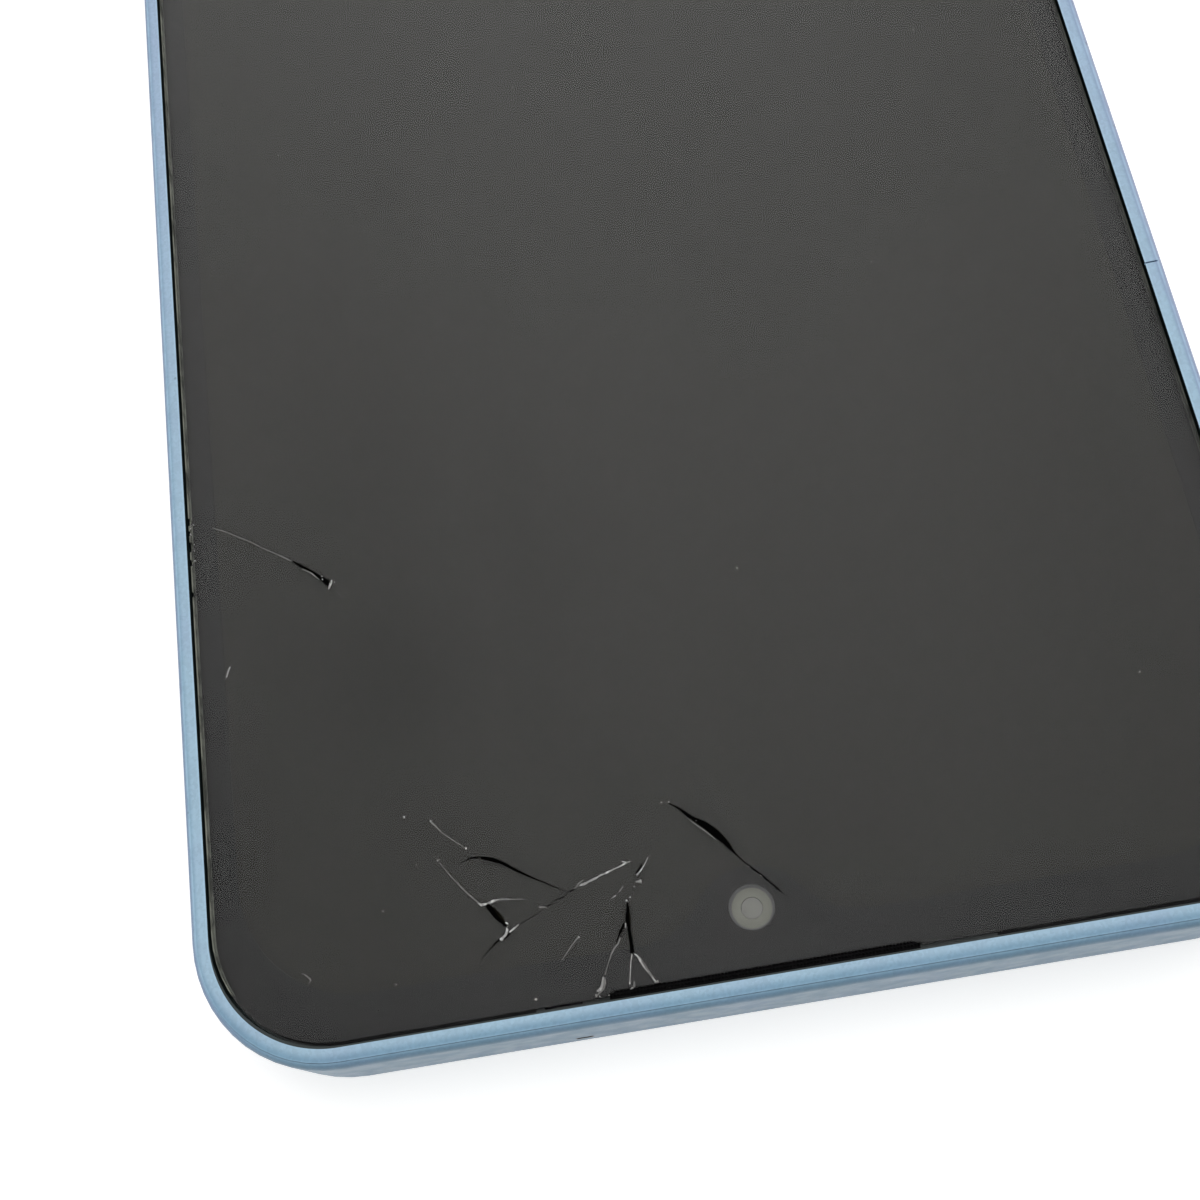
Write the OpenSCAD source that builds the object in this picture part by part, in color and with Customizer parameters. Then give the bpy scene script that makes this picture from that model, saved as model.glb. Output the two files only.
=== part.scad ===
// Touch-screen phone with a cracked front glass.
// Millimetres. The phone lies face up: +Z out of the screen, +Y to the top end,
// +X to the owner's right. The origin is the middle of the back face.

/* [Body] */
// Overall width across the side walls
body_w = 76.5; // [63:0.1:92]
// Overall length from end to end
body_l = 166; // [138:0.5:200]
// Overall thickness, back face to rim
body_t = 8.8; // [8.8:0.1:10.6]
// Outer corner radius seen from the front
corner_r = 9.8; // [9:0.1:11.6]
// Radius between the back face and the side walls
back_edge_r = 1.8; // [1.8:0.1:2.6]
// Side wall thickness of the back cover
shell_wall = 1.1; // [0.9:0.05:1.35]
// Floor thickness of the back cover
shell_floor = 0.9; // [0.85:0.05:1.1]
// Width of the cover's lip outside the parting line
shell_lip = 0.4; // [0.35:0.05:0.5]
// Rounding of the upper outer edge, across the lip and the frame's rim
rim_round = 0.7; // [0.5:0.05:0.9]

/* [Frame] */
// Visible frame rim along the long sides
rim_side = 0.95; // [0.8:0.05:1.2]
// Visible frame rim along the ends
rim_end = 1.05; // [0.9:0.05:1.3]
// Corner radius of the glass opening
opening_r = 8.7; // [8:0.05:9]
// Thickness of the plate between screen and electronics
plate_t = 0.6; // [0.5:0.05:0.8]
// Width of the ledge that carries the glass
ledge_w = 1.5; // [1.3:0.05:1.8]

/* [Glass and screen] */
// Thickness of the cover glass
glass_t = 0.7; // [0.55:0.05:0.85]
// Depth of the glass below the rim
glass_recess = 0.1; // [0.05:0.05:0.2]
// Gap between the glass and the rim along the sides
glass_gap_side = 0.2; // [0.1:0.02:0.24]
// Gap between the glass and the rim at the ends
glass_gap_end = 0.28; // [0.16:0.02:0.34]
// Rounding of the glass's upper edge
glass_edge_r = 0.1; // [0.05:0.05:0.3]
// Black border at the sides of the picture area
border_side = 2.1; // [1.8:0.1:2.5]
// Black border above the picture area
border_top = 3.2; // [2.7:0.1:3.8]
// Black border below the picture area
border_chin = 5; // [4.1:0.1:6.1]
// Thickness of the picture panel
panel_t = 1; // [0.8:0.05:1.1]

/* [Front camera and earpiece] */
// Distance of the camera's axis from the top edge of the opening
camera_down = 4.5; // [4.2:0.05:4.7]
// Diameter of the clear window in the border
window_d = 3.05; // [2.5:0.05:3.6]
// Radius of the rounded drop around the camera
notch_r = 4.2; // [3.9:0.1:4.8]
// Radius that blends the drop into the border
notch_blend_r = 5; // [4:0.5:6]
// Length of the earpiece notch in the glass
earpiece_l = 20.4; // [17:0.1:24]
// Depth of the earpiece notch, from the edge of the opening
earpiece_h = 0.6; // [0.5:0.05:0.7]

/* [Damage] */
// Depth of a hairline crack's groove
hairline_depth = 0.2; // [0.1:0.05:0.3]
// Width of a hairline crack at its widest
hairline_w = 0.09; // [0.06:0.01:0.12]
// Width of the split across the frame's rim
split_w = 0.12; // [0.08:0.02:0.2]

/* [Keys and card tray] */
// Length of the power key's cap
power_key_l = 10.4; // [8.5:0.1:12.5]
// Length of the volume key's cap
volume_key_l = 21; // [17:0.1:25.2]
// Height of both key caps
key_h = 2.2; // [1.8:0.1:2.4]
// How far the keys stand out of the side wall
key_proud = 0.35; // [0.25:0.05:0.45]
// Clearance round a key or the tray's door
slot_gap = 0.1; // [0.05:0.01:0.15]
// Width of the card tray across its rails
tray_w = 14; // [12.5:0.1:15]
// Length of the card tray behind its door
tray_l = 26; // [24:0.5:28]

/* [Sockets] */
// Diameter of the headphone socket's bore
jack_bore_d = 3.54; // [3.5:0.01:3.6]
// Length of the headphone socket's bore
jack_bore_l = 14; // [12:0.5:16]
// Inside width of the charging socket
usb_inner_w = 8.34; // [8.3:0.01:8.4]
// Inside height of the charging socket
usb_inner_h = 2.56; // [2.5:0.01:2.6]

/* [Electronics] */
// Thickness of both circuit boards
board_t = 0.7; // [0.6:0.05:0.85]
// Radius of a screw's shank
screw_r = 0.6; // [0.5:0.05:0.65]
// Radius of a screw's head
screw_head_r = 1.2; // [1:0.05:1.3]
// Width left beside the battery on each side
battery_side = 5.5; // [4.6:0.1:6.6]

/* [Hidden] */
$fn = 48;
past = 1;              // how far a cutter runs past a face

// Outlines seen from the front
parting_gap = 0.02;    // clearance along the frame and cover joint
rim_in = shell_lip + parting_gap;
open_w = body_w - 2 * (shell_lip + rim_side);
open_l = body_l - 2 * (shell_lip + rim_end);
open_top = open_l / 2;
skirt_in = shell_wall + 0.15;
inner_w = body_w - 2 * shell_wall;
inner_l = body_l - 2 * shell_wall;
well_w = open_w - 2 * ledge_w;
well_l = open_l - 2 * ledge_w;
well_r = opening_r - ledge_w;
well_top = well_l / 2;
active_w = open_w - 2 * border_side;
active_l = open_l - border_top - border_chin;
active_mid = (border_chin - border_top) / 2;
active_r = opening_r - 0.05;

// Heights, from the back face up
glass_top = body_t - glass_recess;
glass_low = glass_top - glass_t;
print_gap = 0.01;      // clear layer between the glass and its printed border
print_t = 0.05;
print_low = glass_low - print_gap - print_t;
tape_t = 0.15;
ledge_top = print_low - tape_t;
panel_low = print_low - panel_t;
backlight_t = 0.85;
backlight_low = panel_low - backlight_t;
plate_top = backlight_low - 0.05;
plate_low = plate_top - plate_t;
rim_low = ledge_top - 0.4;
step_z = rim_low - parting_gap;

// Boards
board_low = shell_floor + 1.8;
board_top = board_low + board_t;
part_gap = 0.05;       // clearance between stacked parts
roof = plate_low - part_gap;
board_half = body_w / 2 - shell_wall - 2.45;
main_top_y = body_l / 2 - shell_wall - 1.4;
main_low_y = main_top_y - 42;
sub_low_y = -body_l / 2 + shell_wall + 2;
sub_top_y = sub_low_y + 27.1;
strip_low_y = sub_top_y - 10.7;

// Front camera
camera_y = open_top - camera_down;
barrel_r = 2;
barrel_top = print_low - 0.42;
camera_lens_r = 0.7;
camera_bore_r = camera_lens_r + 0.03;
camera_bore_t = 0.4;
camera_half = 3.2;
notch_y = open_top - 3;
notch_bend_y = open_top - border_top - notch_blend_r;
notch_bend_x = sqrt(pow(notch_r + notch_blend_r, 2) - pow(notch_y - notch_bend_y, 2));

// Earpiece
receiver_x = -11;
receiver_w = 12;
receiver_h = 5.8;
receiver_top = camera_y + 2.7;
mesh_w = 0.8;

// Proximity sensor in the ledge beside the earpiece
sensor_x = 13.3;
sensor_w = 2.2;
sensor_y = well_top + 0.75;
sensor_l = 0.9;
sensor_gap = 0.2;

// Flat cable of the screen, folded round the panel's lower edge
screen_flex_x = -13.5;
screen_flex_w = 9;
screen_flex_y = -well_top + 0.6;
screen_flex_gap = 0.25;

// Keys on the right wall
wall_x = body_w / 2;
wall_in_x = inner_w / 2;
key_lip = 0.4;         // how far a key's flange overlaps the wall round its slot
key_z = plate_low - 0.1 - key_h / 2 - key_lip;
power_y = body_l / 2 - 65;
volume_y = body_l / 2 - 41;
key_play = 0.2;        // room for the rocker's ends inside the wall
flange_t = 0.4;
flange_x = wall_in_x - key_play - flange_t;
key_travel = 0.25;
dome_t = 0.3;
flex_t = 0.12;
dome_x = flange_x - key_travel - 0.05 - dome_t;
key_rib_x = dome_x - flex_t;
key_rib_t = 0.8;

// Card tray on the left wall
tray_y = body_l / 2 - 33;
tray_t = 0.65;
tray_low = board_top + 0.12;
door_l = tray_w + 3;
door_h = 1.9;
door_z = tray_low + tray_t / 2;
door_t = shell_wall - 0.1;
cage_t = 0.15;
cage_gap = 0.1;
cage_x = -wall_x + 2.6;
cage_l = tray_l - 0.2;

// Sockets and openings in the bottom end
end_y = -body_l / 2;
usb_wall = 0.3;
usb_l = 7.35;
usb_z = shell_floor + 2.65;
usb_y = end_y + 0.3;
jack_x = -24;
jack_z = shell_floor + 2.3;
jack_wall = 0.4;
jack_y = end_y + 0.4;
speaker_x = 22;
speaker_w = 24;
speaker_l = 15.5;
sound_z = board_top + 0.45;
sound_hole_r = 0.65;
sound_pitch = 3.2;
mic_hole_r = 0.45;
low_mic_x = 6.9;
top_mic_x = 12.8;
top_mic_z = board_top - 0.2;
top_mic_w = 1.15;
top_mic_h = 0.5;

// Rear cameras, seen through the back
rear_x = wall_x - 13.55;
can_x1 = rear_x - 11.5;    // right edge of both shield cans
rear_main_y = body_l / 2 - 13;
rear_second_y = rear_main_y - 11.5;
flash_y = rear_second_y - 9.5;
rear_mid_y = (rear_main_y + flash_y) / 2;
rear_window_r = 6.2;
rear_window_l = rear_main_y - flash_y + 2 * rear_window_r;
rear_window_t = 0.5;
rear_fit = 0.05;
main_ring_r = 3.95;
second_ring_r = 2.95;
ring_t = 0.7;
flash_r = 2;

// Battery
battery_w = inner_w - 2 * battery_side;
battery_top_y = main_low_y - 2;
battery_low_y = sub_top_y + 3.3;
battery_l = battery_top_y - battery_low_y;
battery_mid_y = (battery_top_y + battery_low_y) / 2;
battery_low = shell_floor + 0.2;
battery_tape_t = 0.4;
battery_high = plate_low - battery_tape_t;
flex_x = -17;
flex_w = 10;
lead_x = 5;
connector_t = 0.8;
cable_x = -board_half + 1.3;
cable_r = 0.45;

// Screws: the place of each axis, top group then bottom group
screw_x = board_half - 3;
top_screws = [
    [-screw_x, main_top_y - 4], [screw_x, main_top_y - 4],
    [-screw_x - 1.3 + 3, main_low_y + 1.8], [screw_x - 1.3, main_low_y + 1.8],
    [rear_x - 9, main_low_y + 11]
];
bottom_screws = [
    [-screw_x + 1.7, sub_top_y - 2.5], [screw_x - 1.7, sub_top_y - 2.5],
    [-screw_x, sub_low_y + 3.7]
];
boss_r = 1.7;
screw_gap = 0.03;
screw_head_t = 0.5;
bracket_head_z = shell_floor + 0.65;

// Cracks. Points are [across, down from the crack line], as seen from the front.
crack_top = open_top - 0.1;

// Openings where a splinter of glass has gone.
camera_shard = [[2.25, -10.5], [1.6, -10.05], [0.95, -9.35], [0.65, -8.8], [0.4, -8],
    [0.6, -8.05], [1.15, -8.8], [1.85, -9.6]];
hub_shard = [[17.55, -7.3], [16.8, -6.35], [16.25, -5.8], [16.5, -6.55], [17.1, -7.3]];
stem_shard = [[7.95, -5.95], [8.3, -5], [8.35, -3.9], [8.25, -2.6], [8.1, -3.9],
    [7.95, -5]];
twig_shard = [[8.4, -4.7], [8.75, -4.1], [9, -3.75], [8.55, -4.15]];
side_shard = [[28.85, -35.05], [28.1, -34.3], [27.4, -33.75], [26.8, -33.35],
    [26.2, -32.5], [26.55, -33.2], [27.3, -34.05], [28, -34.55]];
arch_shard = [[18.4, -10.75], [17.2, -10.65], [16.1, -10.1], [14.9, -9.3], [13.9, -8.6],
    [14.95, -9.15], [16.2, -10], [17.2, -10.45]];
shards = [camera_shard, hub_shard, stem_shard, twig_shard, side_shard, arch_shard];

// Hairline cracks, each a line of points
hairlines = [
    [[4.7, -12.2], [3.9, -11.8], [3, -10.75], [1.85, -9.95]],
    [[0.65, -8.4], [-0.55, -6.7], [-1.4, -5.7], [-2.15, -4.8]],
    [[20.65, -13.75], [19.7, -12.6], [18.4, -11.35]],
    [[14.6, -9.03], [12.7, -7.9], [11.6, -7.35]],
    [[21.1, -12], [20.4, -10.95], [19.2, -9.3], [17.85, -7.5], [17.2, -7.05]],
    [[17.9, -7.6], [16.4, -7.55], [14.3, -6.95]],
    [[16.5, -6.2], [16.5, -4.9], [17.5, -4.5], [18.55, -3.4]],
    [[15.9, -5.45], [14, -6.3], [12.4, -6.95], [10.95, -7.65], [9, -8.15], [7.3, -8.6]],
    [[6.55, -8.4], [7, -7.6], [7.1, -7.1]],
    [[8.15, -7], [8.9, -6.4]],
    [[7.45, -6.8], [7.9, -6], [8.05, -5.3]],
    [[8.75, -4.03], [9.45, -2.95], [10.4, -1.35], [10.9, -0.65], [11.05, 0.1]],
    [[8.24, -3.2], [8.5, -1.6], [8.6, -0.2]],
    [[8.24, -3.3], [7.75, -1.8], [7.4, -1.1], [6.9, -0.2]],
    [[11.6, -4.2], [12.1, -3.6], [12.9, -3]],
    [[34.8, -39.05], [33.35, -38.2], [32, -37.3], [30.2, -36.05], [28.4, -34.69]],
    [[26.45, -32.93], [25.4, -31.65]]
];

// Chips along the glass's top edge: [across, down, radius]
top_chips = [
    [20.8, 0, 0.3], [11.4, 0, 0.3], [8.1, -0.45, 0.2], [-4.95, -0.45, 0.18],
    [-6.9, -0.45, 0.16]
];

// Chips along the glass's right edge: [distance past the edge, down, radius]
side_chips = [
    [0.1, -40, 0.35], [0.1, -39.05, 0.25], [0.15, -37.9, 0.45], [0.1, -36.6, 0.3],
    [0.1, -34, 0.25]
];
glass_side_x = open_w / 2 - glass_gap_side;
chip_depth = 0.3;
split_down = 45.6;

// ---- Shapes used by several pieces ----

// Rounded rectangle, centred
module rounded_outline(w, l, r) {
    square([w, l - 2 * r], center = true);
    square([w - 2 * r, l], center = true);
    for (x = [-1, 1], y = [-1, 1])
        translate([x * (w / 2 - r), y * (l / 2 - r)]) circle(r);
}

module rounded_plate(w, l, r, low, high) {
    translate([0, 0, low]) linear_extrude(high - low) rounded_outline(w, l, r);
}

// Plain box from corner to corner
module block(x0, x1, y0, y1, z0, z1) {
    translate([x0, y0, z0]) cube([x1 - x0, y1 - y0, z1 - z0]);
}

// Long shape with round ends, length along Y
module stadium(w, l) {
    square([w, l - w], center = true);
    for (y = [-1, 1]) translate([0, y * (l - w) / 2]) circle(w / 2);
}

// Half section of a slab's edge, with rounded lower and upper corners
module edge_section(reach, t, low_r, top_r) {
    translate([0, low_r]) square([reach, t - low_r - top_r]);
    square([reach - low_r, t]);
    translate([0, t - top_r - 0.01]) square([reach - top_r, top_r + 0.01]);
    if (low_r > 0) translate([reach - low_r, low_r]) circle(low_r);
    if (top_r > 0)
        intersection() {
            translate([reach - top_r, t - top_r]) circle(top_r);
            translate([0, low_r]) square([reach, t - low_r]);
        }
}

// Slab with rounded corners and rounded edges
module soft_slab(w, l, r, low, high, low_r, top_r) {
    x = w / 2 - r;
    y = l / 2 - r;
    t = high - low;
    translate([0, 0, low]) {
        block(-x, x, -y, y, 0, t);
        for (turn = [0, 90, 180, 270]) {
            across = turn % 180 == 0;
            run = across ? y : x;
            reach = across ? x : y;
            rotate([0, 0, turn]) {
                translate([reach, run, 0]) rotate_extrude(angle = 90)
                    edge_section(r, t, low_r, top_r);
                translate([reach, run, 0]) rotate([90, 0, 0])
                    linear_extrude(2 * run) edge_section(r, t, low_r, top_r);
            }
        }
    }
}

// Cutter or bar with round ends through a side wall, along X
module side_bar(x0, x1, y, z, h, l) {
    translate([x0, y, z]) rotate([0, 90, 0]) linear_extrude(x1 - x0) stadium(h, l);
}

// Round hole or rod along Y
module end_rod(r, x, z, y0, y1) {
    translate([x, y1, z]) rotate([90, 0, 0]) cylinder(r = r, h = y1 - y0);
}

// Bar with round ends along Y, its width along X
module end_bar(w, h, x, z, y0, y1) {
    translate([x, y1, z]) rotate([90, 0, 0]) linear_extrude(y1 - y0)
        rotate(90) stadium(h, w);
}

module disc(r, x, y, z0, z1) {
    translate([x, y, z0]) cylinder(r = r, h = z1 - z0);
}

// Points along an arc
function arc(x, y, r, from, to, steps = 14) =
    [for (i = [0:steps]) let (a = from + (to - from) * i / steps)
        [x + r * cos(a), y + r * sin(a)]];

// Thin pointed outline along a line of points
function heading(p, i) =
    let (a = p[max(i - 1, 0)], b = p[min(i + 1, len(p) - 1)]) (b - a) / norm(b - a);
function beside(p, i, w) =
    let (d = heading(p, i)) p[i] + w / 2 * [-d[1], d[0]];
function taper(p, i) = i == 0 || i == len(p) - 1 ? 0.35 : 1;
function sliver(p, w) = concat(
    [for (i = [0:len(p) - 1]) beside(p, i, w * taper(p, i))],
    [for (i = [len(p) - 1:-1:0]) beside(p, i, -w * taper(p, i))]);

// The glass's outline, with the earpiece notch in its top edge
module glass_outline(inset = 0) {
    side = glass_gap_side + inset;
    end = glass_gap_end + inset;
    difference() {
        rounded_outline(open_w - 2 * side, open_l - 2 * end, opening_r - end);
        earpiece_notch();
    }
}

module earpiece_notch() {
    translate([0, open_top])
        polygon([[-earpiece_l / 2 - 0.6, past], [-earpiece_l / 2 - 0.25, -glass_gap_end],
            [-earpiece_l / 2 + 0.4, -earpiece_h], [earpiece_l / 2 - 0.4, -earpiece_h],
            [earpiece_l / 2 + 0.25, -glass_gap_end], [earpiece_l / 2 + 0.6, past]]);
}

// Picture area: rounded, less the drop round the camera
module active_outline() {
    difference() {
        translate([0, active_mid]) rounded_outline(active_w, active_l, active_r);
        camera_drop();
    }
}

// Drop round the camera, blended into the border
module camera_drop() {
    blend_turn = atan2(notch_y - notch_bend_y, -notch_bend_x);
    drop_turn = atan2(notch_bend_y - notch_y, notch_bend_x);
    polygon(concat(
        arc(notch_bend_x, notch_bend_y, notch_blend_r, 90, blend_turn),
        arc(0, notch_y, notch_r, drop_turn, -180 - drop_turn),
        arc(-notch_bend_x, notch_bend_y, notch_blend_r, 180 - blend_turn, 90),
        [[-notch_bend_x, open_top], [notch_bend_x, open_top]]));
}

module at_each(places) {
    for (p = places) translate([p[0], p[1], 0]) children();
}

// ---- Frame and covers ----

module mid_frame() {
    color([0.55, 0.69, 0.78]) difference() {
        union() {
            intersection() {
                soft_slab(body_w, body_l, corner_r, rim_low, body_t, 0, rim_round);
                rounded_plate(body_w - 2 * rim_in, body_l - 2 * rim_in,
                    corner_r - rim_in, rim_low, body_t + past);
            }
            rounded_plate(body_w - 2 * skirt_in, body_l - 2 * skirt_in,
                corner_r - skirt_in, plate_low, rim_low + 0.01);
            frame_ribs();
        }
        rounded_plate(open_w, open_l, opening_r, ledge_top, body_t + past);
        rounded_plate(well_w, well_l, well_r, plate_top, body_t + past);
        frame_holes();
        frame_split();
    }
}

// Screw bosses, battery fence and the rib behind the keys
module frame_ribs() {
    at_each(concat(top_screws, bottom_screws))
        disc(boss_r, 0, 0, board_top, plate_low + 0.1);
    difference() {
        block(-battery_w / 2 - 1.2, battery_w / 2 + 1.2, battery_low_y - 1.2,
            battery_top_y + 1.2, plate_low - 1.8, plate_low + 0.1);
        block(-battery_w / 2 - 0.4, battery_w / 2 + 0.4, battery_low_y - 0.4,
            battery_top_y + 0.4, plate_low - 2, plate_low);
    }
    block(key_rib_x - key_rib_t, key_rib_x, power_y - 9, volume_y + 14,
        key_z - 1.6, plate_low + 0.1);
}

module frame_holes() {
    at_each(concat(top_screws, bottom_screws))
        disc(screw_r + screw_gap, 0, 0, board_top - past, plate_low + 0.3);
    disc(barrel_r + 0.3, 0, camera_y, plate_low - past, plate_top + past);
    // passage from the earpiece speaker up to the slot
    block(receiver_x - 4, receiver_x + 4, well_top + 0.3, well_top + 0.9,
        plate_low - past, ledge_top + past);
    block(receiver_x - 4, earpiece_l / 2 - 1, well_top + 0.3, well_top + 0.9,
        ledge_top - 0.4, ledge_top + past);
    // pocket of the proximity sensor
    sensor_cut_w = sensor_w + 2 * sensor_gap;
    block(sensor_x - sensor_cut_w / 2, sensor_x + sensor_cut_w / 2,
        sensor_y - sensor_l / 2 - 0.1, sensor_y + sensor_l / 2 + 0.1,
        ledge_top - 1.2, ledge_top + past);
    // slot for the screen's flat cable
    slot_half = screen_flex_w / 2 + screen_flex_gap;
    block(screen_flex_x - slot_half, screen_flex_x + slot_half,
        screen_flex_y - screen_flex_gap, screen_flex_y + flex_t + screen_flex_gap,
        plate_low - past, plate_top + past);
}

// Hairline split across the rim on the left side
module frame_split() {
    block(-wall_x - past, -open_w / 2 + past, open_top - split_down - split_w / 2,
        open_top - split_down + split_w / 2, body_t - 0.25, body_t + past);
}

module back_cover() {
    color([0.5, 0.65, 0.76]) difference() {
        soft_slab(body_w, body_l, corner_r, 0, body_t, back_edge_r, rim_round);
        soft_slab(inner_w, inner_l, corner_r - shell_wall, shell_floor,
            body_t + past, back_edge_r - shell_wall, 0);
        rounded_plate(body_w - 2 * shell_lip, body_l - 2 * shell_lip,
            corner_r - shell_lip, step_z, body_t + past);
        side_openings();
        end_openings();
        rear_openings();
    }
}

module side_openings() {
    key_gap = 2 * slot_gap;
    side_bar(wall_in_x - past, wall_x + past, power_y, key_z, key_h + key_gap,
        power_key_l + key_gap);
    side_bar(wall_in_x - past, wall_x + past, volume_y, key_z, key_h + key_gap,
        volume_key_l + key_gap);
    side_bar(-wall_x - past, -wall_in_x + past, tray_y, door_z, door_h + key_gap,
        door_l + key_gap);
}

module end_openings() {
    end_bar(usb_inner_w + 2 * usb_wall + 0.3, usb_inner_h + 2 * usb_wall + 0.3, 0, usb_z,
        end_y - past, end_y + shell_wall + past);
    end_rod(jack_bore_d / 2 + jack_wall + 0.1, jack_x, jack_z, end_y - past,
        end_y + shell_wall + past);
    end_rod(mic_hole_r, low_mic_x, sound_z, end_y - past, end_y + shell_wall + past);
    for (i = [-2:2])
        end_rod(sound_hole_r, speaker_x + i * sound_pitch, sound_z, end_y - past,
            end_y + shell_wall + past);
    end_bar(top_mic_w, top_mic_h, top_mic_x, top_mic_z, -end_y - shell_wall - past,
        -end_y + past);
}

module rear_openings() {
    translate([rear_x, rear_mid_y, -past])
        linear_extrude(rear_window_t + 0.1 + past)
            stadium(2 * (rear_window_r + rear_fit), rear_window_l + 2 * rear_fit);
    disc(main_ring_r + 0.1, rear_x, rear_main_y, -past, shell_floor + past);
    disc(second_ring_r + 0.1, rear_x, rear_second_y, -past, shell_floor + past);
    disc(flash_r + rear_fit, rear_x, flash_y, -past, shell_floor + past);
}

// ---- Glass and screen ----

module cover_glass() {
    color([0.12, 0.12, 0.13, 0.5]) difference() {
        soft_slab(2 * glass_side_x, open_l - 2 * glass_gap_end,
            opening_r - glass_gap_end, glass_low, glass_top, 0, glass_edge_r);
        translate([0, 0, glass_low - past])
            linear_extrude(glass_t + 2 * past) earpiece_notch();
        translate([0, crack_top, 0]) {
            lost_shards();
            hairline_grooves();
            edge_chips();
        }
    }
}

module lost_shards() {
    for (outline = shards)
        translate([0, 0, glass_low - past]) linear_extrude(glass_t + 2 * past)
            polygon(outline);
}

module hairline_grooves() {
    for (line = hairlines)
        translate([0, 0, glass_top - hairline_depth])
            linear_extrude(hairline_depth + past) polygon(sliver(line, hairline_w));
}

// Shallow bites out of the upper edge
module edge_chips() {
    for (c = top_chips)
        disc(c[2], c[0], c[1], glass_top - chip_depth, glass_top + past);
    for (c = side_chips)
        disc(c[2], glass_side_x + c[0], c[1], glass_top - chip_depth, glass_top + past);
}

// Black border under the glass, with the camera's clear window
module border_print() {
    color([0.04, 0.04, 0.045]) translate([0, 0, print_low])
        linear_extrude(print_t) difference() {
            glass_outline(0.05);
            active_outline();
            translate([0, camera_y]) circle(window_d / 2);
        }
}

module display_adhesive() {
    color([0.1, 0.1, 0.1]) translate([0, 0, ledge_top])
        linear_extrude(tape_t) difference() {
            rounded_outline(open_w - 0.3, open_l - 0.3, opening_r - 0.15);
            rounded_outline(well_w + 0.2, well_l + 0.2, well_r + 0.1);
            translate([0, well_top + 1])
                square([earpiece_l + 10, 2.4], center = true);
        }
}

// Room round the front camera, left out of the panel and its backlight
module camera_bay() {
    translate([0, camera_y]) circle(barrel_r + 0.45);
    translate([-barrel_r - 0.45, camera_y]) square([2 * barrel_r + 0.9, 10]);
}

module display_panel() {
    color([0.06, 0.06, 0.06]) translate([0, 0, panel_low])
        linear_extrude(panel_t) difference() {
            rounded_outline(well_w - 0.4, well_l - 0.4, well_r - 0.2);
            camera_bay();
        }
}

module backlight_unit() {
    color([0.85, 0.86, 0.87]) translate([0, 0, backlight_low])
        linear_extrude(backlight_t) difference() {
            translate([0, 1.6]) rounded_outline(well_w - 0.6, well_l - 4, well_r - 0.3);
            camera_bay();
        }
}

// Flat cable, folded from the panel's lower edge to the lower board
module display_flex() {
    x0 = screen_flex_x - screen_flex_w / 2;
    x1 = screen_flex_x + screen_flex_w / 2;
    strip_z = board_top + connector_t;
    end = screen_flex_y + 7.4;
    color([0.65, 0.4, 0.15]) {
        block(x0, x1, screen_flex_y, screen_flex_y + 1.5, panel_low - flex_t, panel_low);
        block(x0, x1, screen_flex_y, screen_flex_y + flex_t, strip_z, panel_low);
        block(x0, x1, screen_flex_y, end, strip_z, strip_z + flex_t);
        block(x0 + 1, x1 - 1, end - 2.4, end, board_top, strip_z + flex_t / 2);
    }
}

// ---- Earpiece, front camera and sensors ----

module earpiece_mesh() {
    color([0.1, 0.1, 0.1]) block(-earpiece_l / 2, earpiece_l / 2,
        open_top - mesh_w - 0.15, open_top - 0.15, ledge_top, ledge_top + tape_t);
}

module earpiece_speaker() {
    color([0.2, 0.2, 0.21]) {
        block(receiver_x - receiver_w / 2, receiver_x + receiver_w / 2,
            receiver_top - receiver_h, receiver_top, board_low + 0.1, roof - 0.3);
        block(receiver_x - 4, receiver_x + 4, receiver_top - receiver_h + 0.8,
            receiver_top - 0.8, roof - 0.3, roof);
    }
}

module front_camera() {
    color([0.08, 0.08, 0.09]) difference() {
        union() {
            block(-camera_half, camera_half, camera_y - camera_half,
                camera_y + camera_half, board_low, roof);
            disc(barrel_r, 0, camera_y, board_low, barrel_top);
        }
        disc(camera_bore_r, 0, camera_y, barrel_top - camera_bore_t, print_low);
    }
}

module front_camera_lens() {
    color([0.4, 0.41, 0.4]) disc(camera_lens_r, 0, camera_y,
        barrel_top - camera_bore_t, barrel_top - 0.03);
}

// Soft ring that seals the camera against the glass
module camera_gasket() {
    color([0.5, 0.51, 0.49]) difference() {
        disc(barrel_r + 0.05, 0, camera_y, barrel_top, print_low - 0.02);
        disc(window_d / 2 + 0.03, 0, camera_y, print_low - past, print_low + past);
    }
}

module proximity_sensor() {
    color([0.25, 0.2, 0.25])
        block(sensor_x - sensor_w / 2, sensor_x + sensor_w / 2, sensor_y - sensor_l / 2,
            sensor_y + sensor_l / 2, ledge_top - 1.2, ledge_top - 0.2);
}

module microphone(x, y) {
    block(x - 1.6, x + 1.6, y - 1.2, y + 1.2, board_top, board_top + 0.9);
}

module top_microphone() {
    color([0.75, 0.7, 0.5]) microphone(top_mic_x, main_top_y - 1.5);
}

module bottom_microphone() {
    color([0.75, 0.7, 0.5]) microphone(low_mic_x, sub_low_y + 1.5);
}

// ---- Main board ----

module main_board() {
    mid_y = (main_top_y + main_low_y) / 2;
    color([0.1, 0.3, 0.18]) translate([0, 0, board_low]) linear_extrude(board_t)
        difference() {
            translate([0, mid_y])
                rounded_outline(2 * board_half, main_top_y - main_low_y, 6);
            // bay of the front camera and the earpiece speaker
            translate([receiver_x - receiver_w / 2 - 0.4, camera_y - 3.7])
                square([receiver_w / 2 - receiver_x + camera_half + 0.8, 20]);
            // bay of the rear cameras
            translate([rear_x - 5.6, rear_second_y - 4.4])
                square([11.2, rear_main_y - rear_second_y + 10]);
            at_each(top_screws) circle(screw_r + 0.1);
        }
}

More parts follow.
